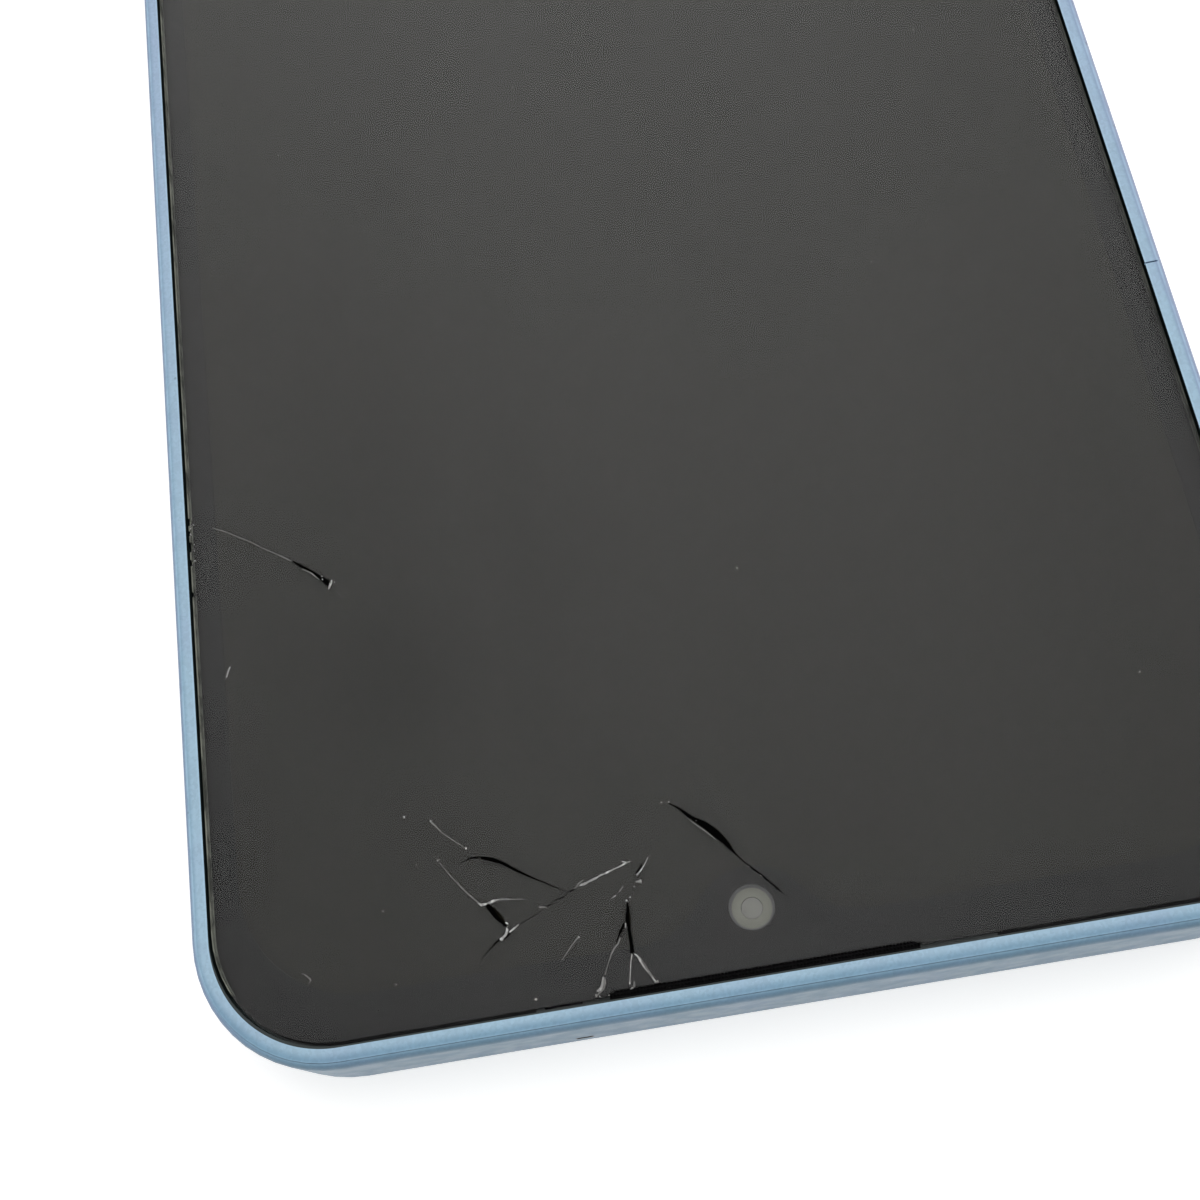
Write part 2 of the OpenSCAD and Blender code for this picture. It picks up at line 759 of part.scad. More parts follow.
// Pressed metal lid, open on the board's side
module shield_can(x0, x1, y0, y1, face, away) {
    wall = 0.15;
    low = min(face, away);
    high = max(face, away);
    difference() {
        block(x0, x1, y0, y1, low, high);
        block(x0 + wall, x1 - wall, y0 + wall, y1 - wall,
            face < away ? low - past : low + wall, face < away ? high - wall : high + past);
    }
}

module front_shield_can() {
    color([0.75, 0.76, 0.78]) shield_can(-board_half + 6, can_x1,
        tray_y + tray_w / 2 + 1.9, camera_y - 4.4, board_top, roof - 0.2);
}

module rear_shield_can() {
    color([0.75, 0.76, 0.78]) shield_can(-board_half + 5, can_x1,
        main_low_y + 7, camera_y - 4.4, board_low, shell_floor + 0.3);
}

module processor_chip() {
    color([0.12, 0.12, 0.13]) translate([-12, main_low_y + 23.2, 0])
        block(-6, 6, -6, 6, board_low - 0.8, board_low);
}

module memory_chip() {
    color([0.12, 0.12, 0.13]) translate([-12, main_low_y + 12, 0])
        block(-5.5, 5.5, -4.5, 4.5, board_low - 0.8, board_low);
}

// Metal cage that holds the card tray
module sim_reader() {
    half = tray_w / 2 + cage_gap;
    top = tray_low + tray_t + cage_gap;
    color([0.8, 0.8, 0.8]) translate([0, tray_y, 0]) {
        block(cage_x, cage_x + cage_l, -half - cage_t, half + cage_t, top, top + cage_t);
        for (y = [-half - cage_t, half])
            block(cage_x, cage_x + cage_l, y, y + cage_t, board_top, top);
        block(cage_x + cage_l - cage_t, cage_x + cage_l, -half, half, board_top, top);
    }
}

module sim_tray() {
    back_x = -wall_x + door_t;
    color([0.5, 0.65, 0.76]) difference() {
        union() {
            side_bar(-wall_x, back_x, tray_y, door_z, door_h, door_l);
            block(back_x - 0.1, back_x + tray_l, tray_y - tray_w / 2,
                tray_y + tray_w / 2, tray_low, tray_low + tray_t);
        }
        // card pockets and the hole for the release pin
        block(back_x + 1, back_x + 10.2, tray_y - 6.2, tray_y + 6.2,
            tray_low + 0.15, tray_low + past);
        block(back_x + 11.4, back_x + tray_l - 1, tray_y - 6.2, tray_y + 6.2,
            tray_low + 0.15, tray_low + past);
        translate([-wall_x - past, tray_y - door_l / 2 + 1.1, door_z])
            rotate([0, 90, 0]) cylinder(r = 0.45, h = door_t + 2 * past);
    }
}

// ---- Keys ----

// Cap with a wider flange that the wall holds in
module side_key(y, l) {
    cap_low = flange_t - 0.1;
    translate([flange_x, y, key_z]) rotate([0, 90, 0]) {
        soft_slab(key_h, l, key_h / 2 - 0.05, cap_low, wall_x + key_proud - flange_x, 0, 0.25);
        linear_extrude(flange_t) rounded_outline(key_h + 2 * key_lip, l + 3 * key_lip, 0.8);
    }
}

module power_key() {
    color([0.5, 0.65, 0.76]) side_key(power_y, power_key_l);
}

module volume_key() {
    color([0.5, 0.65, 0.76]) side_key(volume_y, volume_key_l);
}

// Flat cable with the click domes, on the frame's rib
module key_flex() {
    color([0.65, 0.4, 0.15]) {
        block(key_rib_x, dome_x, power_y - 7, volume_y + 12, key_z - 1, key_z + 1);
        for (y = [power_y, volume_y - volume_key_l / 3, volume_y + volume_key_l / 3])
            translate([dome_x, y, key_z]) rotate([0, 90, 0]) cylinder(r = 1, h = dome_t);
    }
}

// ---- Rear cameras and flash ----

module rear_camera(y, half, barrel) {
    base_low = shell_floor + 1.2;
    translate([rear_x, y, 0]) {
        block(-half, half, -half, half, base_low, roof);
        disc(barrel, 0, 0, shell_floor - 0.1, base_low + 0.1);
    }
}

module rear_camera_main() {
    color([0.1, 0.1, 0.11]) rear_camera(rear_main_y, 4.9, main_ring_r - 0.4);
}

module rear_camera_second() {
    color([0.1, 0.1, 0.11]) rear_camera(rear_second_y, 3.9, second_ring_r - 0.3);
}

module rear_camera_window() {
    color([0.03, 0.03, 0.035]) difference() {
        translate([rear_x, rear_mid_y, 0.05]) linear_extrude(rear_window_t)
            stadium(2 * rear_window_r, rear_window_l);
        disc(main_ring_r + rear_fit, rear_x, rear_main_y, -past, past);
        disc(second_ring_r + rear_fit, rear_x, rear_second_y, -past, past);
        disc(flash_r + rear_fit, rear_x, flash_y, -past, past);
    }
}

module lens_ring(r, y) {
    difference() {
        disc(r, rear_x, y, 0, rear_window_t + 0.1);
        disc(r - ring_t, rear_x, y, -past, past);
    }
}

module camera_rings() {
    color([0.7, 0.72, 0.75]) {
        lens_ring(main_ring_r, rear_main_y);
        lens_ring(second_ring_r, rear_second_y);
    }
}

module camera_lens_covers() {
    color([0.1, 0.1, 0.12, 0.5]) {
        disc(main_ring_r - ring_t - rear_fit, rear_x, rear_main_y, 0.12, 0.5);
        disc(second_ring_r - ring_t - rear_fit, rear_x, rear_second_y, 0.12, 0.5);
    }
}

module flash_led() {
    color([0.9, 0.85, 0.5]) block(rear_x - 1.1, rear_x + 1.1, flash_y - 1.1,
        flash_y + 1.1, board_low - 0.6, board_low);
}

module flash_lens() {
    color([0.95, 0.95, 0.9, 0.6])
        disc(flash_r, rear_x, flash_y, 0.1, board_low - 0.65);
}

// Plastic bracket over the top of the main board, with the aerial on it
module upper_bracket() {
    top_y = main_top_y - 0.3;
    low_y = rear_main_y + 5.5;
    low = shell_floor + 0.1;
    thick = 0.8;
    color([0.15, 0.15, 0.16]) difference() {
        union() {
            translate([0, (top_y + low_y) / 2, low]) linear_extrude(thick)
                rounded_outline(2 * screw_x + 3, top_y - low_y, 2.5);
            for (p = [top_screws[0], top_screws[1]])
                disc(boss_r, p[0], p[1], low, board_low);
        }
        for (p = [top_screws[0], top_screws[1]]) {
            disc(screw_r + 0.1, p[0], p[1], -past, board_low + past);
            disc(screw_head_r + 0.1, p[0], p[1], -past, bracket_head_z);
        }
    }
}

// ---- Battery and cables ----

module battery() {
    color([0.13, 0.13, 0.14]) translate([0, battery_mid_y, 0])
        soft_slab(battery_w, battery_l, 2, battery_low, battery_high, 0.8, 0.8);
}

module battery_adhesive() {
    color([0.9, 0.9, 0.88]) for (x = [-1, 1])
        translate([x * battery_w / 4, battery_mid_y, battery_high])
            linear_extrude(battery_tape_t) rounded_outline(11, battery_l - 12, 1);
}

// Strip with a plug that snaps onto the underside of a board
module flat_plug(x, y, w) {
    block(x - w / 2, x + w / 2, y - 1.25, y + 1.25, board_low - connector_t, board_low);
}

module battery_lead() {
    strip_z = board_low - connector_t;
    color([0.65, 0.4, 0.15]) {
        block(lead_x - 4, lead_x + 4, battery_top_y, main_low_y + 4.25,
            strip_z - flex_t, strip_z);
        flat_plug(lead_x, main_low_y + 3, 7);
    }
}

// Wide flat cable behind the battery, from board to board
module main_flex() {
    x0 = flex_x - flex_w / 2;
    x1 = flex_x + flex_w / 2;
    run_z = shell_floor + 0.03;
    strip_z = board_low - connector_t;
    north = main_low_y + 4.25;
    south = sub_top_y - 4.25;
    color([0.65, 0.4, 0.15]) {
        block(x0, x1, battery_low_y - 1, battery_top_y + 1, run_z, run_z + flex_t);
        block(x0, x1, battery_top_y + 1 - flex_t, battery_top_y + 1, run_z, strip_z);
        block(x0, x1, battery_low_y - 1, battery_low_y - 1 + flex_t, run_z, strip_z);
        block(x0, x1, battery_top_y + 1 - flex_t, north, strip_z - flex_t, strip_z);
        block(x0, x1, south, battery_low_y - 1 + flex_t, strip_z - flex_t, strip_z);
        flat_plug(flex_x, north - 1.25, flex_w - 1);
        flat_plug(flex_x, south + 1.25, flex_w - 1);
    }
}

// Thin round cable with a snap plug at each end
module antenna_cable() {
    north = main_low_y + 1.4;
    south = sub_top_y - 1.4;
    color([0.2, 0.2, 0.22]) {
        end_rod(cable_r, cable_x, board_top + 0.5, south, north);
        for (y = [north, south])
            disc(1.1, cable_x, y, board_top, board_top + 0.95);
    }
}

// ---- Bottom end ----

module sub_board() {
    color([0.1, 0.3, 0.18]) translate([0, 0, board_low]) linear_extrude(board_t)
        difference() {
            union() {
                translate([-board_half, strip_low_y])
                    square([2 * board_half, sub_top_y - strip_low_y]);
                translate([-board_half + 3, sub_low_y])
                    square([board_half + 6.2, strip_low_y - sub_low_y]);
                translate([-board_half, sub_low_y + 3])
                    square([board_half, strip_low_y - sub_low_y - 3]);
                translate([-board_half + 3, sub_low_y + 3]) circle(3);
            }
            usb_half = usb_inner_w / 2 + usb_wall + 0.1;
            translate([-usb_half, sub_low_y - past])
                square([2 * usb_half, usb_y + usb_l - sub_low_y + past + 0.1]);
            jack_half = jack_bore_d / 2 + jack_wall + 0.4;
            translate([jack_x - jack_half, sub_low_y - past])
                square([2 * jack_half, jack_y + jack_bore_l - sub_low_y + past + 0.7]);
            at_each(bottom_screws) circle(screw_r + 0.1);
        }
}

// Charging socket: pressed tube with a tongue
module usb_port() {
    outer_w = usb_inner_w + 2 * usb_wall;
    outer_h = usb_inner_h + 2 * usb_wall;
    color([0.75, 0.75, 0.77]) {
        difference() {
            end_bar(outer_w, outer_h, 0, usb_z, usb_y, usb_y + usb_l);
            end_bar(usb_inner_w, usb_inner_h, 0, usb_z, usb_y - past,
                usb_y + usb_l - 0.8);
        }
        block(-3.35, 3.35, usb_y + 1, usb_y + usb_l - 0.5, usb_z - 0.35, usb_z + 0.35);
    }
}

module headphone_jack() {
    outer_r = jack_bore_d / 2 + jack_wall;
    color([0.15, 0.15, 0.16]) difference() {
        union() {
            end_rod(outer_r, jack_x, jack_z, jack_y, jack_y + jack_bore_l + 0.5);
            block(jack_x - outer_r - 0.3, jack_x + outer_r + 0.3, jack_y + 2.2,
                jack_y + jack_bore_l + 0.5, shell_floor + 0.1, roof);
        }
        end_rod(jack_bore_d / 2, jack_x, jack_z, jack_y - past, jack_y + jack_bore_l);
    }
}

module loudspeaker() {
    x0 = speaker_x - speaker_w / 2;
    mouth_y = end_y + shell_wall + 0.35;
    color([0.14, 0.14, 0.15]) {
        translate([speaker_x, sub_low_y + 0.4 + speaker_l / 2, shell_floor + 0.1])
            linear_extrude(roof - shell_floor - 0.1)
                rounded_outline(speaker_w, speaker_l, 2.5);
        block(x0 + 3, x0 + speaker_w - 5, mouth_y, sub_low_y + 1, sound_z - 1.1,
            sound_z + 1.1);
    }
}

module speaker_mesh() {
    x0 = speaker_x - speaker_w / 2;
    color([0.1, 0.1, 0.1]) block(x0 + 3, x0 + speaker_w - 5, end_y + shell_wall + 0.05,
        end_y + shell_wall + 0.3, sound_z - 1, sound_z + 1);
}

module vibration_motor() {
    color([0.7, 0.7, 0.72])
        disc(4, speaker_x - 5, strip_low_y + 5.2, shell_floor + 0.1, board_low);
}

// ---- Screws, one group ----

module screw(z_head) {
    tip = plate_low + 0.2;
    difference() {
        union() {
            disc(screw_r, 0, 0, z_head, tip);
            disc(screw_head_r, 0, 0, z_head - screw_head_t, z_head);
        }
        for (turn = [0, 90])
            rotate(turn) block(-0.7, 0.7, -0.12, 0.12, z_head - 2 * screw_head_t,
                z_head - screw_head_t / 2);
    }
}

module screws() {
    color([0.3, 0.3, 0.32]) {
        at_each([top_screws[0], top_screws[1]]) screw(bracket_head_z);
        at_each([top_screws[2], top_screws[3], top_screws[4]]) screw(board_low);
        at_each(bottom_screws) screw(board_low);
    }
}

mid_frame();
back_cover();
cover_glass();
border_print();
display_adhesive();
display_panel();
backlight_unit();
display_flex();
earpiece_mesh();
earpiece_speaker();
front_camera();
front_camera_lens();
camera_gasket();
proximity_sensor();
top_microphone();
main_board();
front_shield_can();
rear_shield_can();
processor_chip();
memory_chip();
sim_reader();
sim_tray();
power_key();
volume_key();
key_flex();
rear_camera_main();
rear_camera_second();
rear_camera_window();
camera_rings();
camera_lens_covers();
flash_led();
flash_lens();
upper_bracket();
battery();
battery_adhesive();
battery_lead();
main_flex();
antenna_cable();
sub_board();
usb_port();
headphone_jack();
loudspeaker();
speaker_mesh();
vibration_motor();
bottom_microphone();
screws();
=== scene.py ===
"""A dropped touch-screen phone with a shattered front glass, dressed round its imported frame.

Everything is in metres in the part's own frame: +Z out of the screen, +Y towards the earpiece end
and +X to the right as seen from the front. Sizes in the classes are in millimetres.
"""
import logging
import math
import random
from dataclasses import dataclass
from enum import Enum
from typing import Callable, Sequence

import bpy
from mathutils import Matrix, Vector


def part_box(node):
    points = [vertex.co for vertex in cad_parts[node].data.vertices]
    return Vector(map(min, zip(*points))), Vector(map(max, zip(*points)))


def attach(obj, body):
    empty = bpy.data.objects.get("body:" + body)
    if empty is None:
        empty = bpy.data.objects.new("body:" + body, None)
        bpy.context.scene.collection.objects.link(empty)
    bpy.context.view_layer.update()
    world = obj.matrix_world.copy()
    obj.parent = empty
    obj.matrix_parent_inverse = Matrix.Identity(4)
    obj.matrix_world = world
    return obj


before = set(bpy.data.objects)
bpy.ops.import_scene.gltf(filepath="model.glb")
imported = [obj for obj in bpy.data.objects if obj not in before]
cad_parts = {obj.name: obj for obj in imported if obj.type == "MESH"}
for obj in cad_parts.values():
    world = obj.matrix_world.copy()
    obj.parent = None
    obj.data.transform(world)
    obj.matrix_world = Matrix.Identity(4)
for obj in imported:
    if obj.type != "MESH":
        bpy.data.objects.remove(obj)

log = logging.getLogger("cracked_phone")

MM = 0.001
Colour = tuple[float, float, float]
Point = tuple[float, float]
Step = tuple[float, float, float]
Socket = bpy.types.NodeSocket
Feed = Socket | float | tuple


# ---------------------------------------------------------------------------------------------
# Node sheets and finishes
# ---------------------------------------------------------------------------------------------


class Nodes:
    """A node tree, with short calls for the nodes that the looks use."""

    def __init__(self, tree: bpy.types.NodeTree) -> None:
        """Keeps the tree to build in."""
        self.tree = tree

    def add(self, kind: str, feeds: dict | None = None, **options: object) -> bpy.types.Node:
        """Adds a node.

        Args:
            kind: The node type without its ShaderNode prefix.
            feeds: What each input socket, by name or number, is given.
            options: The node's own settings.

        Returns:
            The new node.
        """
        node = self.tree.nodes.new("ShaderNode" + kind)
        for key, value in options.items():
            setattr(node, key, value)
        for socket, value in (feeds or {}).items():
            self.feed(node.inputs[socket], value)
        return node

    def feed(self, socket: Socket, value: Feed) -> None:
        """Links a node's output to a socket, or sets the socket's own value.

        Args:
            socket: The input socket.
            value: An output socket or a constant.
        """
        if isinstance(value, Socket):
            self.tree.links.new(value, socket)
        else:
            socket.default_value = value

    def span(
        self, value: Feed, low: float, high: float, to_low: float = 0.0, to_high: float = 1.0
    ) -> Socket:
        """Maps low..high of a value smoothly to to_low..to_high, held at both ends."""
        feeds = {"Value": value, "From Min": low, "From Max": high, "To Min": to_low, "To Max": to_high}
        return self.add("MapRange", feeds, interpolation_type="SMOOTHSTEP").outputs["Result"]

    def calc(self, operation: str, first: Feed, second: Feed = 0.0) -> Socket:
        """Works out one value from two."""
        return self.add("Math", {0: first, 1: second}, operation=operation).outputs["Value"]

    def times(self, first: Feed, second: Feed) -> Socket:
        """Multiplies two values."""
        return self.calc("MULTIPLY", first, second)

    def mix(self, share: Feed, first: Feed, second: Feed, blend: str = "MIX") -> Socket:
        """Mixes two colours.

        Args:
            share: How much of the second one shows.
            first: The first colour, three numbers or a socket.
            second: The second colour.
            blend: How the second goes over the first.

        Returns:
            The mixed colour.
        """
        node = self.add("Mix", {0: share}, data_type="RGBA", blend_type=blend)
        for socket, colour in ((node.inputs[6], first), (node.inputs[7], second)):
            plain = isinstance(colour, tuple)
            self.feed(socket, (*colour, 1.0) if plain and len(colour) == 3 else colour)
        return node.outputs[2]

    def seen(self) -> Socket:
        """Gives 1 for a ray from the camera, a mirror or through glass, and 0 for light on things.

        Returns:
            1 or 0, by the kind of ray.
        """
        path = self.add("LightPath").outputs
        mirrored = self.calc("MAXIMUM", path["Is Glossy Ray"], path["Is Transmission Ray"])
        return self.calc("MAXIMUM", path["Is Camera Ray"], mirrored)


class Sheet(Nodes):
    """One material's node tree with its Principled shader."""

    def __init__(self, name: str) -> None:
        """Starts a material.

        Args:
            name: The material's name.
        """
        self.material = bpy.data.materials.new(name)
        self.material.use_nodes = True
        super().__init__(self.material.node_tree)
        self.shader = self.tree.nodes["Principled BSDF"]
        self._object = None

    def dress(self, feeds: dict[str, Feed]) -> None:
        """Sets or links the shader's sockets by name."""
        for name, value in feeds.items():
            self.feed(self.shader.inputs[name], value)

    def object_point(self) -> Socket:
        """Gives the Object coordinate, in metres in the part's frame.

        Returns:
            The coordinate's output.
        """
        if self._object is None:
            self._object = self.add("TexCoord").outputs["Object"]
        return self._object

    def place(
        self, scale: tuple = (1, 1, 1), turn: tuple = (0, 0, 0), shift: tuple = (0, 0, 0)
    ) -> Socket:
        """Stretches, turns and shifts the Object coordinate.

        Args:
            scale: The stretch along each axis.
            turn: The turn about each axis in degrees.
            shift: The move in metres, made last.

        Returns:
            The vector output.
        """
        feeds = {
            "Vector": self.object_point(),
            "Scale": scale,
            "Rotation": tuple(math.radians(a) for a in turn),
            "Location": shift,
        }
        return self.add("Mapping", feeds).outputs["Vector"]

    def axis(self, name: str) -> Socket:
        """Gives one coordinate, X, Y or Z, of the point in metres."""
        return self.add("SeparateXYZ", {"Vector": self.object_point()}).outputs[name]

    def off(self, name: str, middle_mm: float = 0.0) -> Socket:
        """Gives the distance in metres, either way, from a plane across X, Y or Z."""
        return self.calc("ABSOLUTE", self.calc("SUBTRACT", self.axis(name), middle_mm * MM))

    def gap_to(self, point_mm: Step) -> Socket:
        """Gives the distance in metres from a point."""
        feeds = {0: self.object_point(), 1: tuple(c * MM for c in point_mm)}
        return self.add("VectorMath", feeds, operation="DISTANCE").outputs["Value"]

    def facing(self, name: str) -> Socket:
        """Gives how far the surface faces along X, Y or Z, from 0 to 1, either way."""
        normal = self.add("NewGeometry").outputs["Normal"]
        return self.calc("ABSOLUTE", self.add("SeparateXYZ", {"Vector": normal}).outputs[name])

    def out_from(self, centre_mm: Point) -> Socket:
        """Gives the distance in metres from an upright axis through a point.

        Args:
            centre_mm: The point that the axis goes through.

        Returns:
            The distance.
        """
        middle = self.place(shift=(-centre_mm[0] * MM, -centre_mm[1] * MM, 0))
        flat = self.add("VectorMath", {0: middle, 1: (1, 1, 0)}, operation="MULTIPLY").outputs["Vector"]
        return self.add("VectorMath", {0: flat}, operation="LENGTH").outputs["Value"]

    def past(self, outline: "Outline") -> Socket:
        """Gives how far a point lies outside a rounded outline, in metres, below 0 inside it.

        Args:
            outline: The rounded outline.

        Returns:
            The distance past the outline.
        """
        reach = []
        for axis, half in (("X", outline.half_w), ("Y", outline.half_l)):
            reach.append(self.calc("SUBTRACT", self.off(axis), (half - outline.corner) * MM))
        across, along = (self.calc("MAXIMUM", value) for value in reach)
        corner = self.add("CombineXYZ", {"X": across, "Y": along}).outputs["Vector"]
        round_part = self.add("VectorMath", {0: corner}, operation="LENGTH").outputs["Value"]
        flat_part = self.calc("MINIMUM", self.calc("MAXIMUM", reach[0], reach[1]), 0.0)
        return self.calc("SUBTRACT", self.calc("ADD", round_part, flat_part), outline.corner * MM)

    def band(self, value: Feed, middle_mm: float, half_mm: float) -> Socket:
        """Gives 1 where a value in metres is at the middle, fading to 0 half_mm away."""
        away = self.calc("ABSOLUTE", self.calc("SUBTRACT", value, middle_mm * MM))
        return self.span(away, half_mm * MM, 0.0)

    def noise(
        self, scale: float, detail: float = 3.0, rough: float = 0.55, vector: Socket | None = None
    ) -> Socket:
        """Adds a noise pattern.

        Args:
            scale: How many features a metre holds.
            detail: How many finer layers it has.
            rough: How strong the finer layers are.
            vector: The coordinate, or None for the Object one.

        Returns:
            The noise value, about 0.5 on average.
        """
        feeds = {"Scale": scale, "Detail": detail, "Roughness": rough}
        return self.add("TexNoise", {"Vector": vector or self.object_point(), **feeds}).outputs["Fac"]

    def cells(
        self, scale: float, vector: Socket | None = None, feature: str = "F1"
    ) -> bpy.types.Node:
        """Adds a cell pattern of that many cells a metre and gives its node."""
        feeds = {"Vector": vector or self.object_point(), "Scale": scale}
        return self.add("TexVoronoi", feeds, feature=feature)

    def waves(self, scale: float, direction: str) -> Socket:
        """Adds straight bands across one axis and gives their value.

        Args:
            scale: The pattern's scale.
            direction: The axis, X, Y or Z, that the bands follow each other along.

        Returns:
            The band value from 0 to 1.
        """
        feeds = {"Vector": self.object_point(), "Scale": scale}
        return self.add("TexWave", feeds, bands_direction=direction).outputs["Fac"]

    def bump(self, height: Feed, depth_mm: float, strength: float) -> None:
        """Turns a height pattern into a surface normal and gives it to the shader."""
        feeds = {"Height": height, "Distance": depth_mm * MM, "Strength": strength}
        self.feed(self.shader.inputs["Normal"], self.add("Bump", feeds).outputs["Normal"])


@dataclass(frozen=True)
class Outline:
    """A rounded rectangle seen from the front: half its width and length, and its corner radius, in mm."""

    half_w: float
    half_l: float
    corner: float


def shade(colour: Colour, factor: float) -> Colour:
    """Gives a colour made lighter or darker by a factor."""
    return tuple(min(1.0, c * factor) for c in colour)


@dataclass(frozen=True)
class Finish:
    """What every finish holds: its name and its main colour, linear."""

    name: str
    colour: Colour

    def fill(self, sheet: Sheet) -> None:
        """Fills in the node tree; each finish has its own way."""
        raise NotImplementedError

    def material(self) -> bpy.types.Material:
        """Makes the material, or gives the one already made.

        Returns:
            The material.
        """
        made = bpy.data.materials.get(self.name)
        if made is None:
            sheet = Sheet(self.name)
            self.fill(sheet)
            made = sheet.material
        return made

    def put_on(self, *pieces: bpy.types.Object) -> None:
        """Puts the finish in every material slot of the pieces.

        Args:
            pieces: The pieces.
        """
        for piece in pieces:
            if not piece.material_slots:
                piece.data.materials.append(None)
            for holder in piece.material_slots:
                holder.material = self.material()


@dataclass(frozen=True)
class PearlPaint(Finish):
    """Satin pearl paint with fine flakes, soft clouding and dirt specks, with painted shade and painted
    highlights laid on it.

    Attributes:
        body: The phone's outline.
        lilac: What the pearl turns towards on the sides, where its darker tone is also painted shade, and
            where it drifts.
        end_shade: The much darker blue that it turns towards on the ends, as painted shade.
        bare: The casting's colour inside the phone.
        shell: How deep from the outline the painted skin reaches.
        back_mm: Below this height everything is painted.
        highlights_mm: Where painted highlights run along the rim, as distances in from the outline.
        turned: What the colour is multiplied by, as painted shade, where the surface turns down at the
            outline.
        end_mm: How far along the phone its ends start and are fully reached.
        port_mm: Where the microphone slot is, across and up.
        port_end_mm: The slot lies past this far along the phone.
        slot_shade: The painted shade in and round the slot.
        well_mm: Above this height the casting is painted dark, as shade, round the glass.
        well_shade: The colour of that painted shade.
    """

    body: Outline = Outline(38.25, 83.0, 9.8)
    lilac: Colour = (0.3, 0.37, 0.57)
    end_shade: Colour = (0.141, 0.25, 0.34)
    bare: Colour = (0.16, 0.165, 0.17)
    shell: float = 1.34
    back_mm: float = 0.0
    highlights_mm: tuple[float, ...] = (1.28, 0.44)
    turned: Colour = (0.55, 0.66, 0.72)
    end_mm: Point = (74.0, 80.0)
    port_mm: Point = (12.8, 3.2)
    port_end_mm: float = 78.0
    slot_shade: Colour = (0.006, 0.007, 0.009)
    well_mm: float = 7.2
    well_shade: Colour = (0.012, 0.02, 0.021)

    def fill(self, sheet: Sheet) -> None:
        """Lays the painted skin with its painted shade and painted highlights, and the bare casting inside.

        Args:
            sheet: The sheet to fill in.
        """
        inward = sheet.times(sheet.past(self.body), -1.0)
        paint = self._edge_shade(sheet, inward, self._colour(sheet))
        paint = self._edge_highlights(sheet, inward, self._shaded_band(sheet, inward, paint))
        paint = sheet.mix(self._specks(sheet), paint, shade(self.colour, 0.35))
        skin = sheet.calc("LESS_THAN", inward, self.shell * MM)
        back = sheet.calc("LESS_THAN", sheet.axis("Z"), self.back_mm * MM)
        paint = sheet.mix(sheet.calc("MAXIMUM", skin, back), self._casting(sheet), paint)
        # The microphone slot gets its painted shade in the base colour.
        sheet.dress({
            "Base Color": sheet.mix(self._port(sheet), paint, self.slot_shade),
            "Roughness": sheet.span(sheet.noise(520, 3), 0.3, 0.7, 0.38, 0.5),
            "Coat Weight": 0.1,
            "Coat Roughness": 0.25,
        })
        sheet.bump(sheet.noise(3100, 2), 0.008, 0.5)

    def _at_end(self, sheet: Sheet, before: float, after: float) -> Socket:
        """Maps before..after along the stretch where the phone's ends start."""
        start, full = (y * MM for y in self.end_mm)
        return sheet.span(sheet.off("Y"), start, full, before, after)

    def _edge_shade(self, sheet: Sheet, inward: Socket, paint: Socket) -> Socket:
        """Paints shade on the paint where the rim turns down, over a wider band at the ends.

        Args:
            sheet: The sheet to draw on.
            inward: How far in from the outline a point is, in metres.
            paint: The paint so far.

        Returns:
            The darkened paint.
        """
        # Painted shade: the outer band, where the rim turns down, is multiplied darker.
        inner = sheet.calc("SUBTRACT", inward, self._at_end(sheet, 0.0, 0.3 * MM))
        outer = sheet.span(inner, 0.85 * MM, 0.25 * MM)
        return sheet.mix(outer, paint, sheet.mix(1.0, paint, self.turned, "MULTIPLY"))

    def _shaded_band(self, sheet: Sheet, inward: Socket, paint: Socket) -> Socket:
        """Lays a darker lilac band of painted shade, with grit in it, on the outer edge of the card tray's
        side.

        Args:
            sheet: The sheet to draw on.
            inward: How far in from the outline a point is, in metres.
            paint: The paint so far.

        Returns:
            The paint with the band on it.
        """
        side = sheet.span(sheet.axis("X"), -34 * MM, -37 * MM)
        band = sheet.times(sheet.span(inward, 0.75 * MM, 0.4 * MM), side)
        # The band's darker lilac is painted shade; the dots in it are grit.
        paint = sheet.mix(sheet.times(band, 0.8), paint, shade(self.lilac, 0.92))
        dots = sheet.span(sheet.cells(900).outputs["Distance"], 0.16, 0.1, 0.0, 0.6)
        return sheet.mix(sheet.times(band, dots), paint, shade(self.lilac, 0.4))

    def _edge_highlights(self, sheet: Sheet, inward: Socket, paint: Socket) -> Socket:
        """Paints thin highlights along the rim's lines, in uneven lengths, and less at the phone's ends.

        Args:
            sheet: The sheet to draw on.
            inward: How far in from the outline a point is, in metres.
            paint: The paint so far.

        Returns:
            The paint with its painted highlights.
        """
        uneven = sheet.span(sheet.noise(700, 3), 0.3, 0.62, 0.25, 0.6)
        share = sheet.times(self._at_end(sheet, 1.0, 0.3), uneven)
        # Each line is a painted highlight: the colour made 1.3 times brighter.
        for edge in self.highlights_mm:
            line = sheet.times(sheet.band(inward, edge, 0.11), share)
            paint = sheet.mix(line, paint, shade(self.colour, 1.3))
        return paint

    def _casting(self, sheet: Sheet) -> Socket:
        """Gives the bare metal inside, with painted shade round the glass.

        Args:
            sheet: The sheet to draw on.

        Returns:
            The metal's colour.
        """
        metal = sheet.mix(sheet.noise(900, 3), shade(self.bare, 0.85), shade(self.bare, 1.15))
        # Painted shade: the casting round the glass is laid near black.
        well_shade = sheet.calc("GREATER_THAN", sheet.axis("Z"), self.well_mm * MM)
        return sheet.mix(well_shade, metal, self.well_shade)

